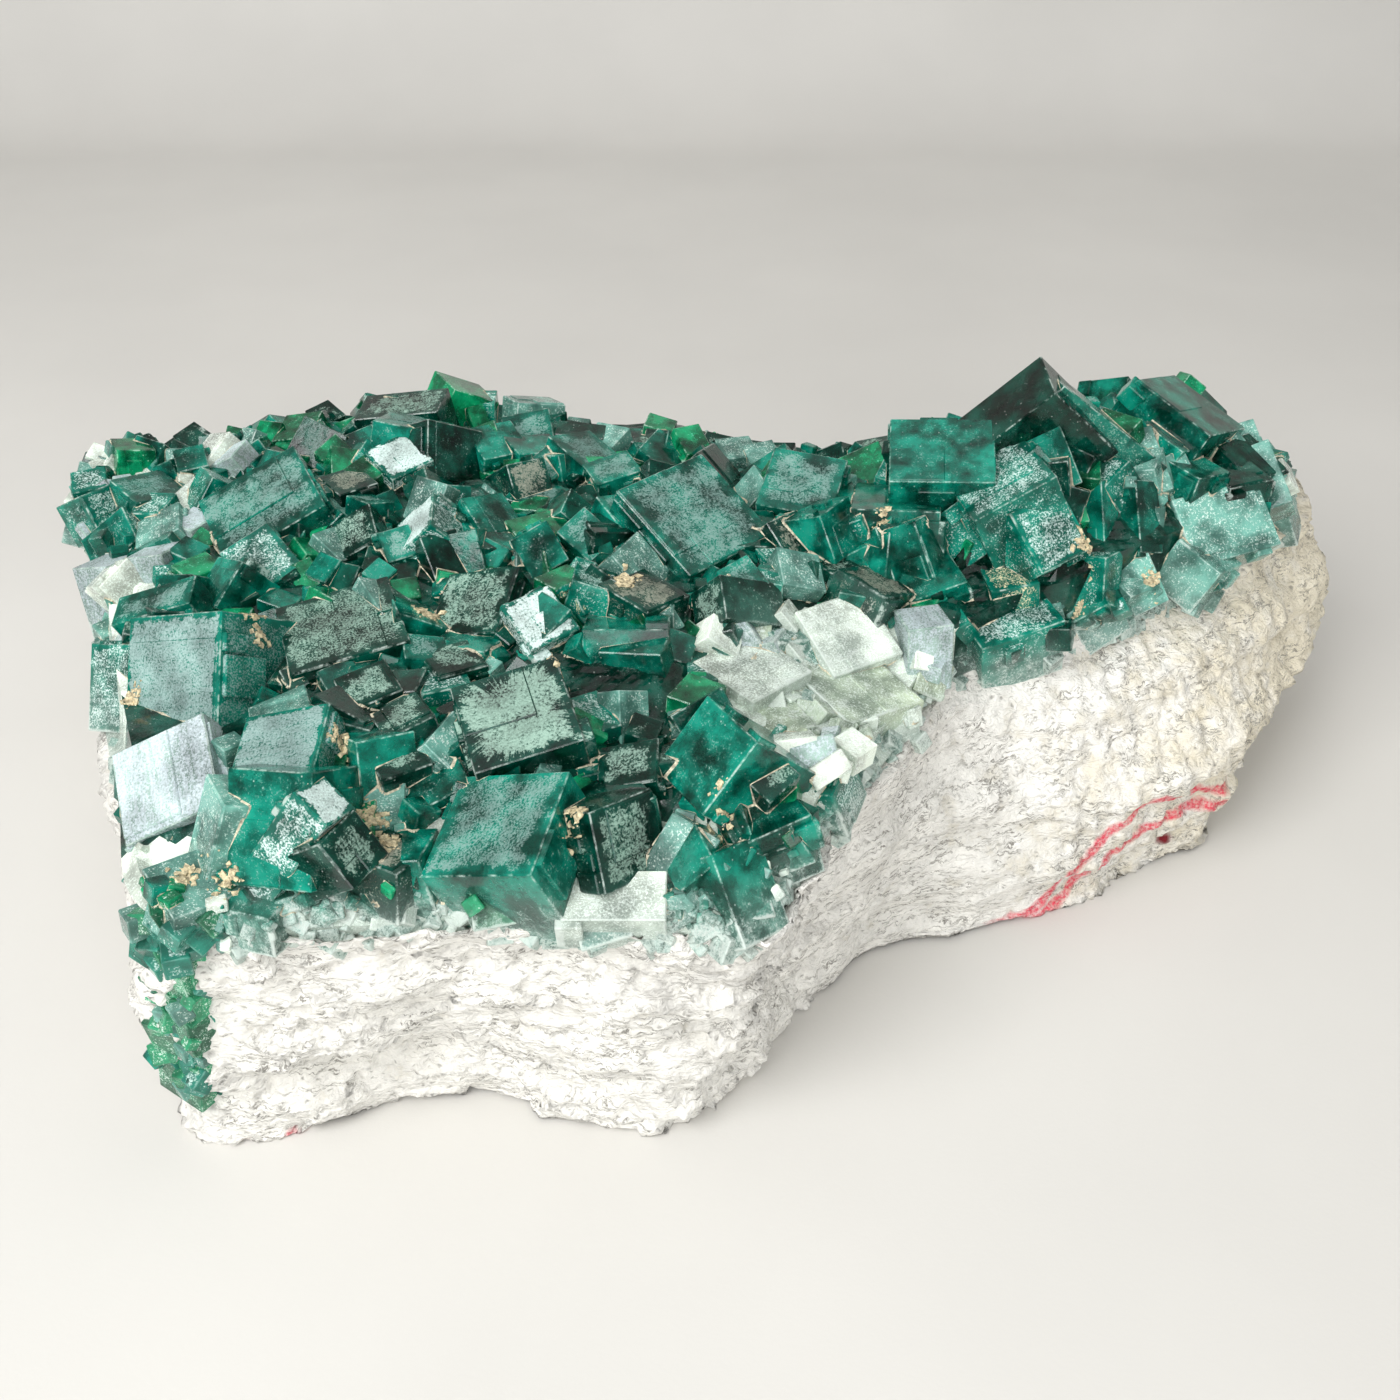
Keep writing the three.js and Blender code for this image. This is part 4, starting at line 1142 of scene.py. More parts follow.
def dress(mesh, blocks, palette):
    """Stores on every face its crystal's finish, and on every corner its place in that crystal."""
    ids = mesh_array(mesh.attributes["block"].data, "value", kind=int)
    middle, size = (0, 0, SHEET_SIZE / 2), (SHEET_SIZE,) * 3
    sheets = [Block(middle, np.eye(3), size, finish, SHEET_LUCK) for finish in SHEET_FINISHES]
    everyone = [*blocks, *sheets]
    x, y, _ = mesh_array(mesh.polygons, "center", 3).T / MM + CLUSTER_MIDDLE[:, None]
    # The front edge, the valley and the left end
    near_front = (y < -96) | ((x > 5) & (x < 70) & (y < -22)) | (x < -135)
    ids = np.where(ids == len(blocks), len(blocks) + near_front, ids)
    axes = np.array([b.axes for b in everyone])
    centres = np.array([b.home.centre for b in everyone])
    halves = np.array([b.home.size / 2 for b in everyone])
    lucks = np.array([b.luck for b in everyone])
    number_of = {id(b): i for i, b in enumerate(everyone)}
    homes = np.array([number_of[id(b.home)] for b in everyone])
    looks = [FINISHES[b.finish] for b in everyone]
    light = np.random.default_rng(SEED + 1).uniform(0.82, 1.18, len(everyone))
    tints = np.array([[*getattr(palette, look[0]), look[1]] for look in looks])
    tints[:, :3] = np.clip(tints[:, :3] * light[:, None], 0, 1)
    coats = np.array([[*getattr(palette, look[2]), look[3]] for look in looks])[ids]
    outer = np.abs(np.einsum("ni,ni->n", mesh_array(mesh.polygons, "normal", 3), axes[ids, 2])) > 0.8
    coats[:, 3] = np.where(outer, coats[:, 3], np.array([look[4] for look in looks])[ids])
    habits = np.array([look[5:] for look in looks])
    points = corners_mm(mesh)
    corner_ids = np.repeat(ids, mesh_array(mesh.polygons, "loop_total", kind=int))
    apart = points[mesh_array(mesh.loops, "vertex_index", kind=int)] - centres[corner_ids]
    store(mesh, "tint", "FLOAT_COLOR", "FACE", tints[ids])
    store(mesh, "coat", "FLOAT_COLOR", "FACE", coats)
    store(mesh, "near_rock", "FLOAT", "POINT", near_rock(points))
    store(mesh, "habit", "FLOAT_VECTOR", "FACE", habits[ids])
    store(mesh, "half_mm", "FLOAT_VECTOR", "FACE", halves[ids])
    store(mesh, "luck", "FLOAT", "FACE", lucks[ids])
    store(mesh, "crystal", "INT", "FACE", homes[ids])
    store(mesh, "place_mm", "FLOAT_VECTOR", "CORNER", np.einsum("nj,nij->ni", apart, axes[corner_ids]))


def near_rock(points):
    """How near points of the crust are to the rock's brow, from 0 to 1. The green vein stays out."""
    share = np.zeros(len(points))
    low = points[:, 2] - brow_level(points[:, 0])
    some = np.flatnonzero(low < 14)
    brow = brow_ring()[::4]
    for part in np.array_split(some, 1 + len(some) // 4000):
        apart = np.hypot(points[part, 0, None] - brow[:, 0], points[part, 1, None] - brow[:, 1]).min(axis=1)
        uneven = np.array([4 * noise.noise(Vector(points[i]) / 7) for i in part])
        share[part] = smoothstep(14 - low[part] + uneven, 2, 12) * smoothstep(16 - apart + uneven, 2, 12)
    vein = (points[:, 0] < -96) & (points[:, 1] < -84)
    knocked = 0.85 * np.exp(-(np.hypot(points[:, 0] - 34, points[:, 1] + 46) / 26) ** 4)
    return np.maximum(np.where(vein, 0.25 * share, share), knocked)


def crust_blocks(sizes):
    """Every crystal of the crust, large ones first."""
    rng = np.random.default_rng(SEED)
    large = [crystal(*row, luck=fraction(0.13 + i * 0.618)) for i, row in enumerate(CRYSTALS)]
    sight = Sight(large)
    middling = [
        *fill_crystals(BACK_FILL, sight), *fill_crystals(GAP_FILL, sight),
        *rim_crystals(BACK_RIM, sight), *rim_crystals(FRONT_RIM, sight),
    ]
    vein = vein_blocks()
    bed = Bed([*large, *middling])
    blocks = [*large, *middling, *vein]
    for big in [*large, *middling]:
        if min(big.size[:2]) > LEAST_FOR_PLATES:
            blocks += growth_plates(big, rng, sizes.growth_step / MM)
        if min(big.size[:2]) > LEAST_FOR_NOTCHES:
            blocks += edge_notches(big, rng)
        blocks += satellites(big, 2 + int(big.size[:2].mean() / 5), "gap", rng, sight)
    blocks += small_cubes(sizes.small_cubes, bed, sight, rng)
    for stretch, part, heights, mix in FRONT_CRUMBS:
        pieces = crumbs(stretch, sizes.rim_crumbs // part, heights, mix, rng)
        blocks += [b for b in pieces if sight.clear(b, 0.5)]
    blocks += [b for b in rubble(RUBBLE_PIECES, bed, rng) if sight.clear(b, 1.5)]
    stretch, part, heights, mix = BACK_CRUMBS
    blocks += crumbs(stretch, sizes.rim_crumbs // part, heights, mix, rng)
    for big in vein:
        blocks += satellites(big, VEIN_CUBES, "vein", rng)
    return blocks, bed


class FLUORITE_OT_crust(bpy.types.Operator):
    """Builds the crust of intergrown cubes as one closed mesh and dresses every crystal"""

    bl_idname = "fluorite.crust"
    bl_label = "Green crystals"

    def execute(self, context):
        sizes = context.scene.fluorite_sizes
        palette = context.scene.fluorite_colours
        blocks, bed = crust_blocks(sizes)
        base = sheet_object(len(blocks), bed)
        whole = joined("green_crystals", blocks, sizes.bevel / MM, base, crystal_material(palette))
        if len(whole.data.polygons) < len(blocks):
            raise RuntimeError("the crystals did not join")
        dress(whole.data, blocks, palette)
        hand_over(whole, "fluorite", "fluorite_crust")
        return {"FINISHED"}


# Materials

def add_node(tree, kind, inputs, **settings):
    """Adds a node. inputs maps each input's name to a number, a colour or the socket that feeds it."""
    node = tree.nodes.new(kind)
    for name, value in settings.items():
        setattr(node, name, value)
    for name, value in inputs.items():
        if isinstance(value, bpy.types.NodeSocket):
            tree.links.new(value, node.inputs[name])
        else:
            node.inputs[name].default_value = value
    return node


class Finish:
    """One material, built step by step. Every step takes sockets or numbers and gives the next socket."""

    def __init__(self, name):
        self.material = bpy.data.materials.new(name)
        self.material.use_nodes = True
        self.tree = self.material.node_tree
        self.tree.nodes.clear()

    def step(self, kind, inputs, output=0, **settings):
        return add_node(self.tree, kind, inputs, **settings).outputs[output]

    def stored(self, name):
        """The sockets of a value stored on the mesh."""
        return add_node(self.tree, "ShaderNodeAttribute", {}, attribute_name=name).outputs

    def parts(self, vector):
        return add_node(self.tree, "ShaderNodeSeparateXYZ", {0: vector}).outputs

    def in_mm(self):
        """The place on the object in millimetres."""
        where = self.step("ShaderNodeTexCoord", {}, "Object")
        return self.scaled(where, 1 / MM)

    def maths(self, operation, *parts):
        return self.step("ShaderNodeMath", dict(enumerate(parts)), operation=operation)

    def vector(self, operation, *parts):
        return self.step("ShaderNodeVectorMath", dict(enumerate(parts)), operation=operation)

    def scaled(self, vector, share):
        return self.step("ShaderNodeVectorMath", {0: vector, "Scale": share}, operation="SCALE")

    def clouds(self, place, scale, detail, roughness=0.5, output=0):
        inputs = {"Vector": place, "Scale": scale, "Detail": detail, "Roughness": roughness}
        return self.step("ShaderNodeTexNoise", inputs, output)

    def cells(self, place, scale):
        """Distance from the middle of the nearest cell, and chance, a number that each cell draws."""
        nodes = add_node(self.tree, "ShaderNodeTexVoronoi", {"Vector": place, "Scale": scale}).outputs
        return nodes["Distance"], self.step("ShaderNodeSeparateColor", {0: nodes["Color"]})

    def remap(self, value, low, high, to_low=0.0, to_high=1.0, shape="LINEAR"):
        inputs = {"Value": value, "From Min": low, "From Max": high, "To Min": to_low, "To Max": to_high}
        return self.step("ShaderNodeMapRange", inputs, interpolation_type=shape)

    def between(self, share, one, other):
        return self.step("ShaderNodeMix", {0: share, 2: one, 3: other})

    def over(self, paint, share, coat):
        """The paint with a share of another socket or colour over it."""
        if not isinstance(coat, bpy.types.NodeSocket):
            coat = (*coat, 1.0)
        return self.step("ShaderNodeMix", {0: share, 6: paint, 7: coat}, 2, data_type="RGBA")

    def close(self, paint, relief, strength, depth, inside=None, **inputs):
        """Ends the material with its surface, its fine relief in millimetres and what is inside it."""
        bump = self.step("ShaderNodeBump", {"Strength": strength, "Distance": depth * MM, "Height": relief})
        named = {name.replace("_", " "): value for name, value in inputs.items()}
        surface = self.step("ShaderNodeBsdfPrincipled", {"Base Color": paint, "Normal": bump, **named})
        sockets = {"Surface": surface, "Volume": inside} if inside else {"Surface": surface}
        add_node(self.tree, "ShaderNodeOutputMaterial", sockets)
        return self.material


def crystal_material(palette):
    """Fluorite with natural growth faces: clear green inside, mirror smooth where bare, and dulled where a
    thin crust of later mineral has frosted it."""
    f = Finish("Green fluorite, natural growth faces")
    place = f.stored("place_mm")["Vector"]
    half = f.stored("half_mm")["Vector"]
    near = f.stored("near_rock")["Fac"]
    tint = f.stored("tint")
    coat = f.stored("coat")
    margin, feathery, streaked = f.parts(f.stored("habit")["Vector"])
    # Each crystal takes its own stretch of every pattern
    stretch = f.vector("MULTIPLY", f.stored("luck")["Fac"], (371.0, 913.0, 577.0))
    spot = f.vector("ADD", place, stretch)
    # Distance to the nearest edge of the crystal: the middle one of the three distances to its faces
    gap = f.parts(f.vector("SUBTRACT", half, f.vector("ABSOLUTE", place)))
    low = f.maths("MINIMUM", gap[0], gap[1])
    high = f.maths("MAXIMUM", gap[0], gap[1])
    edge = f.maths("MAXIMUM", low, f.maths("MINIMUM", high, gap[2]))
    # Growth zones of about 8 mm, clouds of 4 mm and speckles of 0.5 mm, a little coarser than the real druse
    zones = f.clouds(spot, 0.11, 2.0)
    cloud = f.clouds(spot, 0.3, 4.0, 0.7)
    speckle = f.clouds(spot, 1.9, 3.0, 0.75)
    # Feathers that run out from the middle of the face: the heading picks the barb
    flat = f.vector("MULTIPLY", place, (1.0, 1.0, 0.0))
    heading = f.vector("NORMALIZE", flat)
    reach = f.step("ShaderNodeVectorMath", {0: flat}, "Value", operation="LENGTH")
    far = f.step("ShaderNodeCombineXYZ", {2: f.maths("MULTIPLY", reach, 0.1)})
    barbs = f.clouds(f.vector("MULTIPLY_ADD", heading, (13.0, 13.0, 0.0), far), 1.0, 3.0, 0.75)
    # Streaks along one side of the crystal, about 1 mm apart
    streaks = f.clouds(f.vector("MULTIPLY", spot, (0.12, 1.1, 0.5)), 1.0, 3.0, 0.6)
    # The coat ends raggedly inside the clear margin, near the edge here and far from it there
    lobes = f.maths("ADD", f.between(feathery, cloud, barbs), -0.5)
    swing = f.maths("MULTIPLY_ADD", margin, 3.6, 2.0)
    ragged = f.maths("MULTIPLY_ADD", lobes, swing, edge)
    bays = f.remap(zones, 0.3, 0.7, -1.1, 1.1)
    moved = f.maths("MULTIPLY_ADD", bays, margin, ragged)
    ends = f.maths("MULTIPLY_ADD", margin, 1.7, 0.5)
    kept = f.remap(moved, f.maths("MULTIPLY", margin, 0.2), ends, shape="SMOOTHSTEP")
    density = f.maths("MULTIPLY", coat["Alpha"], kept)
    # Speckles grow together as the density rises from 0 to 1
    grain = f.between(0.38, speckle, f.between(streaked, cloud, streaks))
    past = f.maths("SUBTRACT", grain, f.remap(density, 0.0, 1.0, 0.7, 0.34))
    frost = f.remap(past, -0.06, 0.08, shape="SMOOTHSTEP")
    # Painted glow: milky stretches are painted brighter than the body, as if lit from inside; clear ones are
    # deep, down to a fine mottle
    depth = f.between(0.33, zones, cloud)
    milk = f.remap(depth, 0.34, 0.67, shape="SMOOTHSTEP")
    mottle = f.maths("MULTIPLY_ADD", speckle, 0.62, milk)
    painted_glow = f.remap(mottle, 0.22, 1.2, 0.02, 3.4)
    body = f.scaled(tint["Color"], f.between(tint["Alpha"], 1.0, painted_glow))
    body = f.over(body, f.remap(depth, 0.6, 0.74, 0.0, 0.24, "SMOOTHSTEP"), palette.sea)
    # Next to the rock the body turns grey
    body = f.over(body, f.maths("MULTIPLY", near, 0.6), palette.ice)
    # Grains of white dust of about 0.4 mm
    distance, chance = f.cells(spot, 0.6)
    dots = f.remap(distance, 0.07, 0.17, 0.6, 0.0)
    dust = f.maths("MULTIPLY", dots, f.maths("GREATER_THAN", chance, 0.7))
    body = f.over(body, dust, palette.milk)
    uneven = f.maths("MULTIPLY_ADD", zones, 0.8, speckle)
    skin_paint = f.scaled(coat["Color"], f.remap(uneven, 0.6, 1.12, 0.42, 1.75))
    coated = f.over(body, f.maths("MULTIPLY", frost, 0.88), skin_paint)
    # White healed breaks in a few patches, more of them next to the rock, where a painted highlight also
    # lines the crystals' edges
    patch = f.between(0.45, cloud, speckle)
    painted_edge_lining = f.remap(edge, 0.1, 1.0, 0.44, 0.2)
    # Crumbs under about 5 mm are evenly pale instead
    halves = f.parts(half)
    sound = f.remap(f.maths("MINIMUM", halves[0], halves[1]), 2.2, 4.5)
    # worn is the share of painted highlight that lines the edges, an even 0.3 on the crumbs
    worn = f.between(sound, 0.3, painted_edge_lining)
    breaks_and_lit_edges = f.remap(f.maths("MULTIPLY_ADD", near, worn, patch), 0.64, 0.86, 0.0, 0.9)
    # Painted highlight along the crystals' edges, white here and there, about 0.3 mm wide
    rim = f.remap(edge, 0.15, 0.45, 0.7, 0.0)
    here = f.maths("MULTIPLY", f.remap(cloud, 0.46, 0.6), sound)
    bloom_and_highlight = f.maths("MAXIMUM", breaks_and_lit_edges, f.maths("MULTIPLY", rim, here))
    # The milk colour paints the healed breaks and the painted edge highlights
    paint = f.over(coated, bloom_and_highlight, palette.milk)
    opaque = f.maths("MAXIMUM", f.maths("MAXIMUM", frost, dust), bloom_and_highlight)
    bare = f.maths("SUBTRACT", 1.0, opaque)
    share = f.maths("MULTIPLY", bare, f.remap(milk, 0.0, 1.0, 1.0, 0.55))
    clear = f.maths("MULTIPLY", share, tint["Alpha"])
    dull = f.remap(opaque, 0.0, 1.0, 0.08, 0.48)
    # The coat is grainy and stands 0.1 mm proud. Bare faces ripple slightly, more so next to the rock
    grit = f.maths("MULTIPLY", speckle, frost)
    relief = f.maths("MULTIPLY_ADD", cloud, f.maths("MULTIPLY_ADD", near, 3.0, 0.3), grit)
    inside = f.step("ShaderNodeVolumeAbsorption", {"Color": (0.03, 0.8, 0.7, 1.0), "Density": 60.0})
    return f.close(paint, relief, 0.55, 0.35, inside, Roughness=dull, Transmission_Weight=clear,
                   IOR=1.434, Specular_IOR_Level=0.4)


def rock_material(colours):
    """White rock broken by hammer: matt and chalky, with thin grey streaks along its layers."""
    f = Finish("White rock, hand broken")
    spot = f.in_mm()
    bent = f.clouds(spot, 0.35, 2.0, output="Color")
    warp = f.vector("MULTIPLY_ADD", bent, (3.0, 3.0, 3.0), spot)

    def layered(scale):
        inputs = {"Vector": warp, "Rotation": (0.0, math.atan(LAYER_DIP), 0.0), "Scale": scale}
        return f.step("ShaderNodeMapping", inputs)

    # Thin layers that run 20 mm or more and dip to the right
    layers = f.clouds(layered((0.06, 0.06, 0.42)), 1.0, 6.0, 0.62)
    off = f.maths("ABSOLUTE", f.maths("SUBTRACT", layers, 0.5))
    lined = f.remap(f.clouds(spot, 0.09, 5.0), 0.4, 0.56)
    streak = f.maths("MULTIPLY", f.remap(off, 0.003, 0.02, 1.0, 0.0), lined)
    # Dark mineral flakes, 1 to 3 mm long and 0.4 mm thick, that lie along the layers
    distance, chance = f.cells(layered((0.36, 0.36, 1.25)), 1.0)
    dot = f.remap(distance, 0.12, 0.34, 0.7, 0.0)
    flakes = f.maths("MULTIPLY", dot, f.maths("GREATER_THAN", chance, 0.6))
    dark = f.maths("MULTIPLY", f.maths("MAXIMUM", streak, flakes), 0.9)
    cloud = f.clouds(spot, 0.12, 6.0, 0.65)
    paint = f.scaled(colours.white, f.remap(cloud, 0.4, 0.75, 1.0, 0.72))
    # Warm stain that grows towards the right end
    far = f.remap(f.parts(spot)[0], 60.0, 205.0, 0.0, 0.55)
    stain = f.remap(f.maths("ADD", cloud, far), 0.6, 0.95, 0.0, 0.6)
    paint = f.over(paint, stain, colours.warm)
    paint = f.over(paint, dark, colours.grey)
    smear, red, quartz = f.parts(f.stored("marks")["Vector"])
    paint = f.over(paint, f.maths("MULTIPLY", quartz, f.remap(cloud, 0.4, 0.62, 0.0, 0.75)), colours.quartz)
    # Wax crayon, which catches only on the high grain
    above_one, above_two, ends = f.parts(f.stored("crayon")["Vector"])
    nearest = f.maths("MINIMUM", f.maths("ABSOLUTE", above_one), f.maths("ABSOLUTE", above_two))
    tooth = f.clouds(spot, 0.9, 5.0, 0.7)
    caught = f.remap(tooth, 0.32, 0.6, 0.25, 0.95)
    drawn = f.maths("MULTIPLY", f.remap(nearest, 0.8, 1.9, 1.0, 0.0), caught)
    wax = f.maths("MULTIPLY_ADD", smear, caught, f.maths("MULTIPLY", drawn, ends))
    paint = f.over(paint, wax, colours.crayon)
    paint = f.over(paint, red, colours.spot)
    chipped = f.maths("MULTIPLY_ADD", distance, 1.1, tooth)
    relief = f.maths("MULTIPLY_ADD", layers, 1.4, chipped)
    return f.close(paint, relief, 0.7, 0.8, Roughness=0.85, Specular_IOR_Level=0.35)


def silt_material(name, colour_value):
    """Dried sediment: dull, pale and grainy, so that it marks the seams and gaps as fine matt lines."""
    f = Finish(name)
    grain = f.clouds(f.in_mm(), 0.9, 5.0, 0.7)
    paint = f.scaled(colour_value, f.remap(grain, 0.36, 0.64, 0.35, 1.25))
    return f.close(paint, grain, 0.8, 0.4, Roughness=0.9)


def floor_material(colour_value):
    """Smooth board, sprayed with pale satin paint: even, with a faint sheen."""
    f = Finish("Pale board, sprayed satin paint")
    where = f.step("ShaderNodeTexCoord", {}, "Object")
    drift = f.clouds(where, 6.0, 3.0)
    paint = f.scaled(colour_value, f.remap(drift, 0.3, 0.7, 0.96, 1.03))
    return f.close(paint, f.clouds(where, 900.0, 2.0), 0.15, 0.2, Roughness=0.5)


# Studio

FLOOR_NEAR = -2500.0             # the floor's front edge
FLOOR_SIDE = 3000.0              # half its width
BEND_START = 750.0               # where it starts to curve up, well behind the slab
BEND_RADIUS = 150.0              # how wide that curve is
FLOOR_TOP = 2500.0               # how high its upright part goes
# The soft lights: name, place, side of the square in metres, and the setting that holds the power
LIGHTS = [
    ("key", (-600, -640, 900), 0.7, "key_power"),
    ("front", (250, -1300, 480), 0.9, "fill_power"),
    ("overhead", (60, 200, 1900), 2.4, "top_power"),
]


class FLUORITE_OT_stage(bpy.types.Operator):
    """Builds the pale floor with its raised back, the soft lights and the camera"""

    bl_idname = "fluorite.stage"
    bl_label = "Studio"

    def execute(self, context):
        settings = context.scene.fluorite_stage
        # Level, then a quarter round, then upright
        turns = np.radians(np.arange(0, 91, 6))
        bend = [(BEND_START + BEND_RADIUS * math.sin(a), BEND_RADIUS * (1 - math.cos(a))) for a in turns]
        profile = [(FLOOR_NEAR, 0.0), *bend, (BEND_START + BEND_RADIUS, FLOOR_TOP)]
        vertices = [(x, y, z) for y, z in profile for x in (-FLOOR_SIDE, FLOOR_SIDE)]
        faces = [(2 * i, 2 * i + 1, 2 * i + 3, 2 * i + 2) for i in range(len(profile) - 1)]
        floor = mesh_object("floor", vertices, faces, floor_material(settings.floor))
        floor.data.polygons.foreach_set("use_smooth", [True] * len(faces))
        for name, place, size, power in LIGHTS:
            data = bpy.data.lights.new(name, "AREA")
            data.size = size
            data.energy = getattr(settings, power)
            lamp = put(name, data)
            lamp.location = np.array(place) * MM
            lamp.rotation_euler = (-lamp.location).to_track_quat("-Z", "Y").to_euler()
        world = bpy.data.worlds.new("room")
        world.use_nodes = True
        background = world.node_tree.nodes["Background"]
        background.inputs["Color"].default_value = (1.0, 1.0, 1.0, 1.0)
        background.inputs["Strength"].default_value = settings.sky
        context.scene.world = world
        context.scene.view_settings.view_transform = "Standard"
        camera = put("camera", bpy.data.cameras.new("camera"))
        camera.data.lens = CAMERA_LENS
        camera.location = (CAMERA_PLACE - CLUSTER_MIDDLE) * MM
        camera.rotation_euler = (math.radians(90 - CAMERA_PITCH), 0, 0)
        camera.data.clip_start = 0.02
        camera.data.clip_end = 20.0
        context.scene.camera = camera
        return {"FINISHED"}


# Silt and clay

SEAM_HOLLOW = 0.35               # least bend of a seam that holds silt, as the sine of its angle
SEAM_SHORTEST = 0.4              # in millimetres
SEAM_LEAST = 0.2                 # share of silt under which a seam stays bare
SEAM_START = BROW_HEIGHT + 4     # the silt keeps above the white rock
CLAY_DENSITY = 16                # flakes for each millimetre of reach
CLAY_SIZE = (0.3, 1.5)


def hollow_seams(mesh):
    """Ends of the edges where two crystals meet in a hollow, and both ways in along their faces."""
    edge_of = mesh_array(mesh.loops, "edge_index", kind=int)
    vertex_of = mesh_array(mesh.loops, "vertex_index", kind=int)
    starts = mesh_array(mesh.polygons, "loop_start", kind=int)
    totals = mesh_array(mesh.polygons, "loop_total", kind=int)
    normals = mesh_array(mesh.polygons, "normal", 3)
    blocks = mesh_array(mesh.attributes["crystal"].data, "value", kind=int)
    points = corners_mm(mesh)
    face_of = np.repeat(np.arange(len(totals)), totals)
    after = np.arange(len(edge_of)) + 1
    after[starts + totals - 1] = starts
    order = np.argsort(edge_of, kind="stable")
    here, there = order[0::2], order[1::2]
    start, end = points[vertex_of[here]], points[vertex_of[after[here]]]
    run = end - start
    length = np.linalg.norm(run, axis=1)
    one, two = normals[face_of[here]], normals[face_of[there]]
    hollow = np.einsum("ni,ni->n", np.cross(one, two), run) < -SEAM_HOLLOW * length
    apart = blocks[face_of[here]] != blocks[face_of[there]]
    kept = hollow & apart & (length > SEAM_SHORTEST) & (edge_of[here] == edge_of[there])
    run = run[kept] / length[kept, None]
    one, two = one[kept], two[kept]
    return start[kept], end[kept], one, two, np.cross(one, run), np.cross(run, two)


def seam_share(point):
    """How much silt the seams hold at a place: none in most, with a wide fill in a few."""
    p = Vector(point)
    return max(0.0, min(1.3, 2.2 * noise.noise(p / 9) + 1.6 * noise.noise(p / 2.0) - 0.15))


def seam_fillets(mesh, width):
    """Closed three-sided fillets that taper along the seams."""
    vertices, faces = [], []
    section = [(0, 1, 4, 3), (1, 2, 5, 4), (2, 0, 3, 5), (2, 1, 0), (3, 4, 5)]
    for start, end, one, two, way_one, way_two in zip(*hollow_seams(mesh)):
        shares = seam_share(start), seam_share(end)
        if max(shares) < SEAM_LEAST or start[2] < SEAM_START:
            continue
        base = len(vertices)
        for point, share in zip((start, end), shares):
            reach = width * max(share, 0.1)
            vertices += [point + way_one * reach - 0.05 * one, point + way_two * reach - 0.05 * two,
                         point - 0.12 * (one + two)]
        faces += [tuple(base + i for i in face) for face in section]
    return vertices, faces


# Tan clay caught in the gaps: plan points and reach
CLAY = [
    (-104, -46, 3.5), (-65, -32, 3.5), (-134, -54, 3.0), (-68, -98, 4.5), (-64, -105, 4.0), (-16, -23, 4.0),
    (-106, -110, 3.5), (-97, -111, 3.5), (8, -98, 2.5), (-23, -106, 3.0), (105, -5, 4.0), (126, 1, 3.0),
    (-76, -84, 3.0), (-30, -62, 2.5), (52, 4, 2.5),
]


def clay_flakes(mesh, rng):
    """Broken flakes of clay, three parts bedded in what lies under them."""
    tree = BVHTree.FromPolygons(
        [tuple(corner) for corner in corners_mm(mesh)],
        [tuple(face.vertices) for face in mesh.polygons],
    )
    box = [(0, 2, 3, 1), (4, 5, 7, 6), (0, 1, 5, 4), (2, 6, 7, 3), (0, 4, 6, 2), (1, 3, 7, 5)]
    corners = BOX_CORNERS - 0.5
    vertices, faces = [], []
    for x, y, reach in CLAY:
        for _ in range(int(CLAY_DENSITY * reach)):
            spread = rng.normal(0, reach / 2.4, 2)
            above = Vector((x + spread[0], y + spread[1], 200))
            place, normal, _, _ = tree.ray_cast(above, Vector((0, 0, -1)))
            if place is None:
                continue
            size = lerp(*CLAY_SIZE, rng.random() ** 2) * np.array([1.3, 1.0, 0.7])
            lean = normal.to_track_quat("Z", "Y").to_matrix() @ Matrix.Rotation(6.3 * rng.random(), 3, "Z")
            shape = corners * size * rng.uniform(0.5, 1.2, (8, 1)) + rng.normal(0, 0.12, (8, 3))
            base = len(vertices)
            vertices += list(np.array(place) + shape @ np.array(lean).T)
            faces += [tuple(base + i for i in face) for face in box]
    return vertices, faces


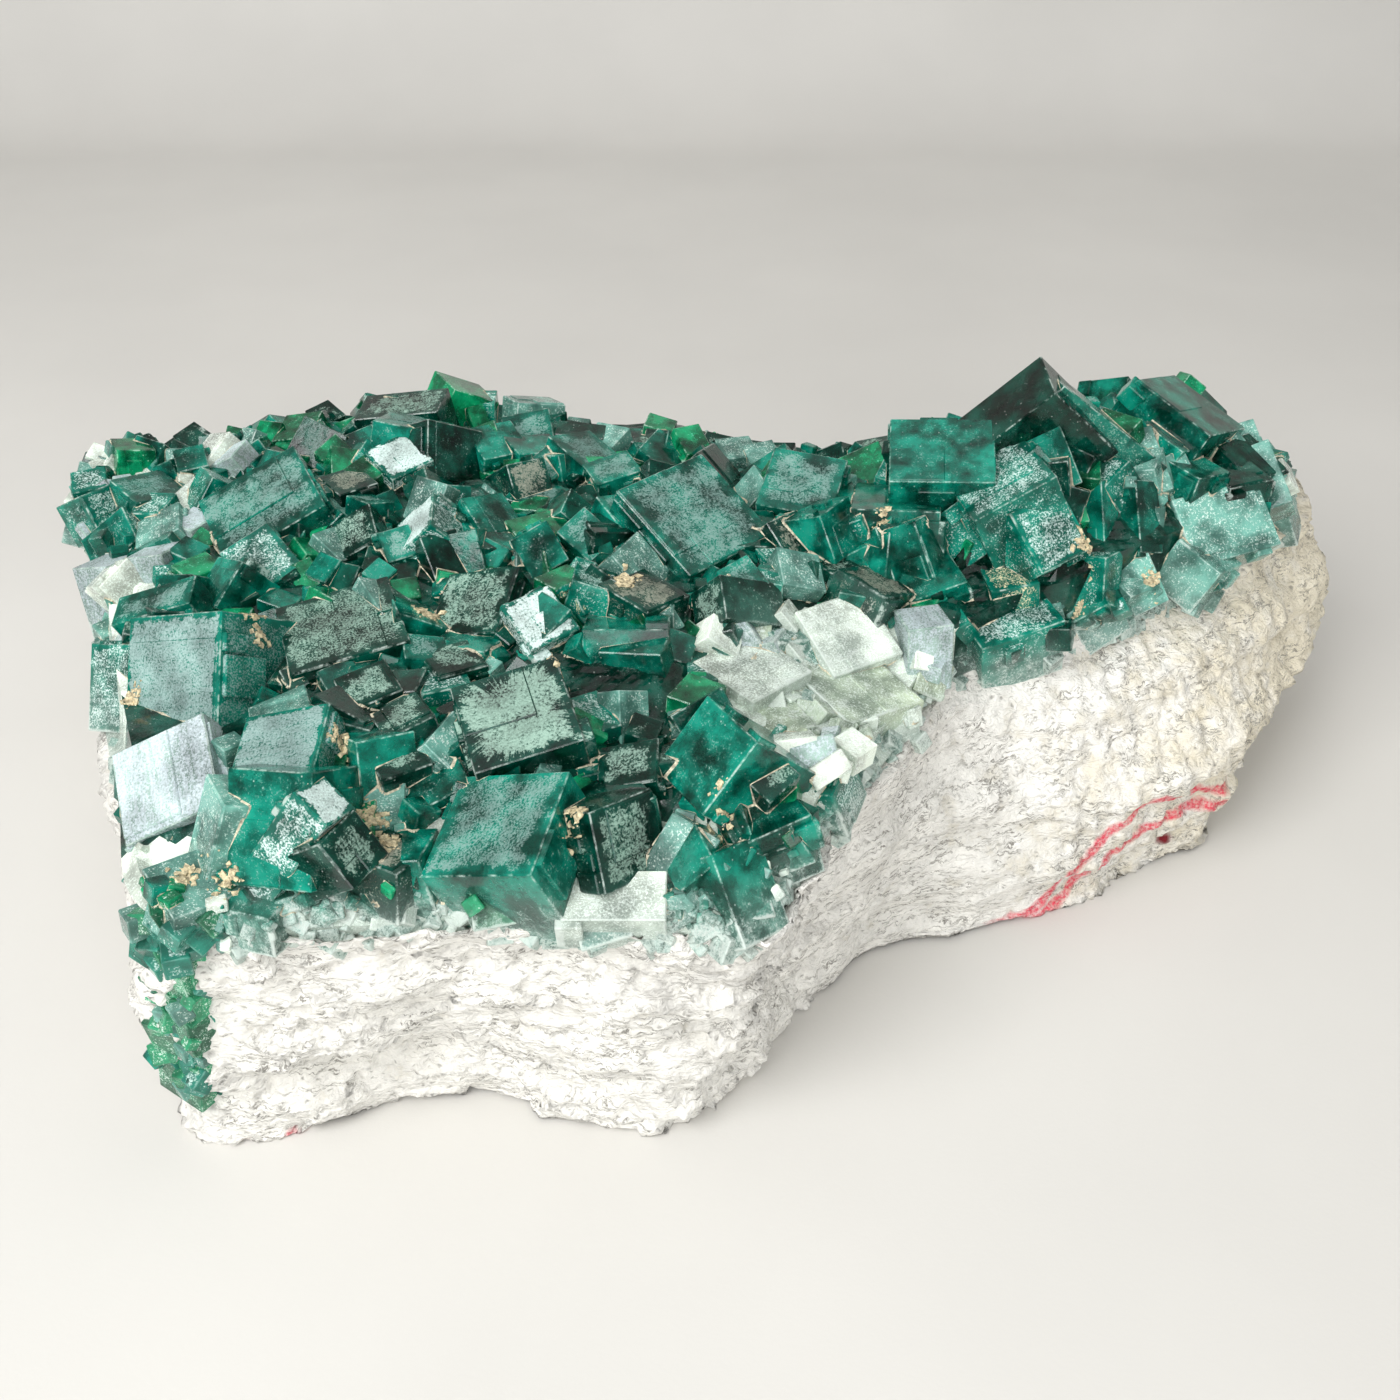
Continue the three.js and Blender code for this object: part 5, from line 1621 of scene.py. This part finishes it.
class FLUORITE_OT_silt(bpy.types.Operator):
    """Lays cream silt along the seams where crystals meet, and tan clay in the gaps"""

    bl_idname = "fluorite.silt"
    bl_label = "Silt and clay"

    def execute(self, context):
        palette = context.scene.fluorite_colours
        crust = bpy.data.objects["green_crystals"].data
        seams = seam_fillets(crust, context.scene.fluorite_sizes.seam_width / MM)
        flakes = clay_flakes(crust, np.random.default_rng(SEED + 2))
        silt = mesh_object("seam_silt", *seams, silt_material("Dried silt", palette.silt))
        clay = mesh_object("gap_clay", *flakes, silt_material("Tan clay", palette.clay))
        for piece in (silt, clay):
            hand_over(piece, "rock")
        return {"FINISHED"}


# Add-on

class FLUORITE_PT_panel(bpy.types.Panel):
    """Lists the steps that build the cluster and their settings"""

    bl_idname = "FLUORITE_PT_panel"
    bl_label = "Fluorite cluster"
    bl_space_type = "VIEW_3D"
    bl_region_type = "UI"
    bl_category = "Fluorite"

    def draw(self, context):
        for operator in OPERATORS:
            self.layout.operator(operator.bl_idname)
        for owner in GROUPS:
            box = self.layout.box()
            for name in GROUPS[owner].__annotations__:
                box.prop(getattr(context.scene, owner), name)


GROUPS = {
    "fluorite_colours": FluoriteColours,
    "fluorite_sizes": CrystalSizes,
    "fluorite_rock": RockSettings,
    "fluorite_stage": StageSettings,
}
OPERATORS = (FLUORITE_OT_stage, FLUORITE_OT_rock, FLUORITE_OT_crust, FLUORITE_OT_silt)


def register():
    for cls in (*GROUPS.values(), *OPERATORS, FLUORITE_PT_panel):
        bpy.utils.register_class(cls)
    for owner, cls in GROUPS.items():
        setattr(bpy.types.Scene, owner, bpy.props.PointerProperty(type=cls))


def unregister():
    for owner in GROUPS:
        delattr(bpy.types.Scene, owner)
    for cls in (FLUORITE_PT_panel, *reversed(OPERATORS), *GROUPS.values()):
        bpy.utils.unregister_class(cls)


def main():
    register()
    bpy.ops.fluorite.stage()
    bpy.ops.fluorite.rock()
    bpy.ops.fluorite.crust()
    bpy.ops.fluorite.silt()


if __name__ == "__main__":
    main()
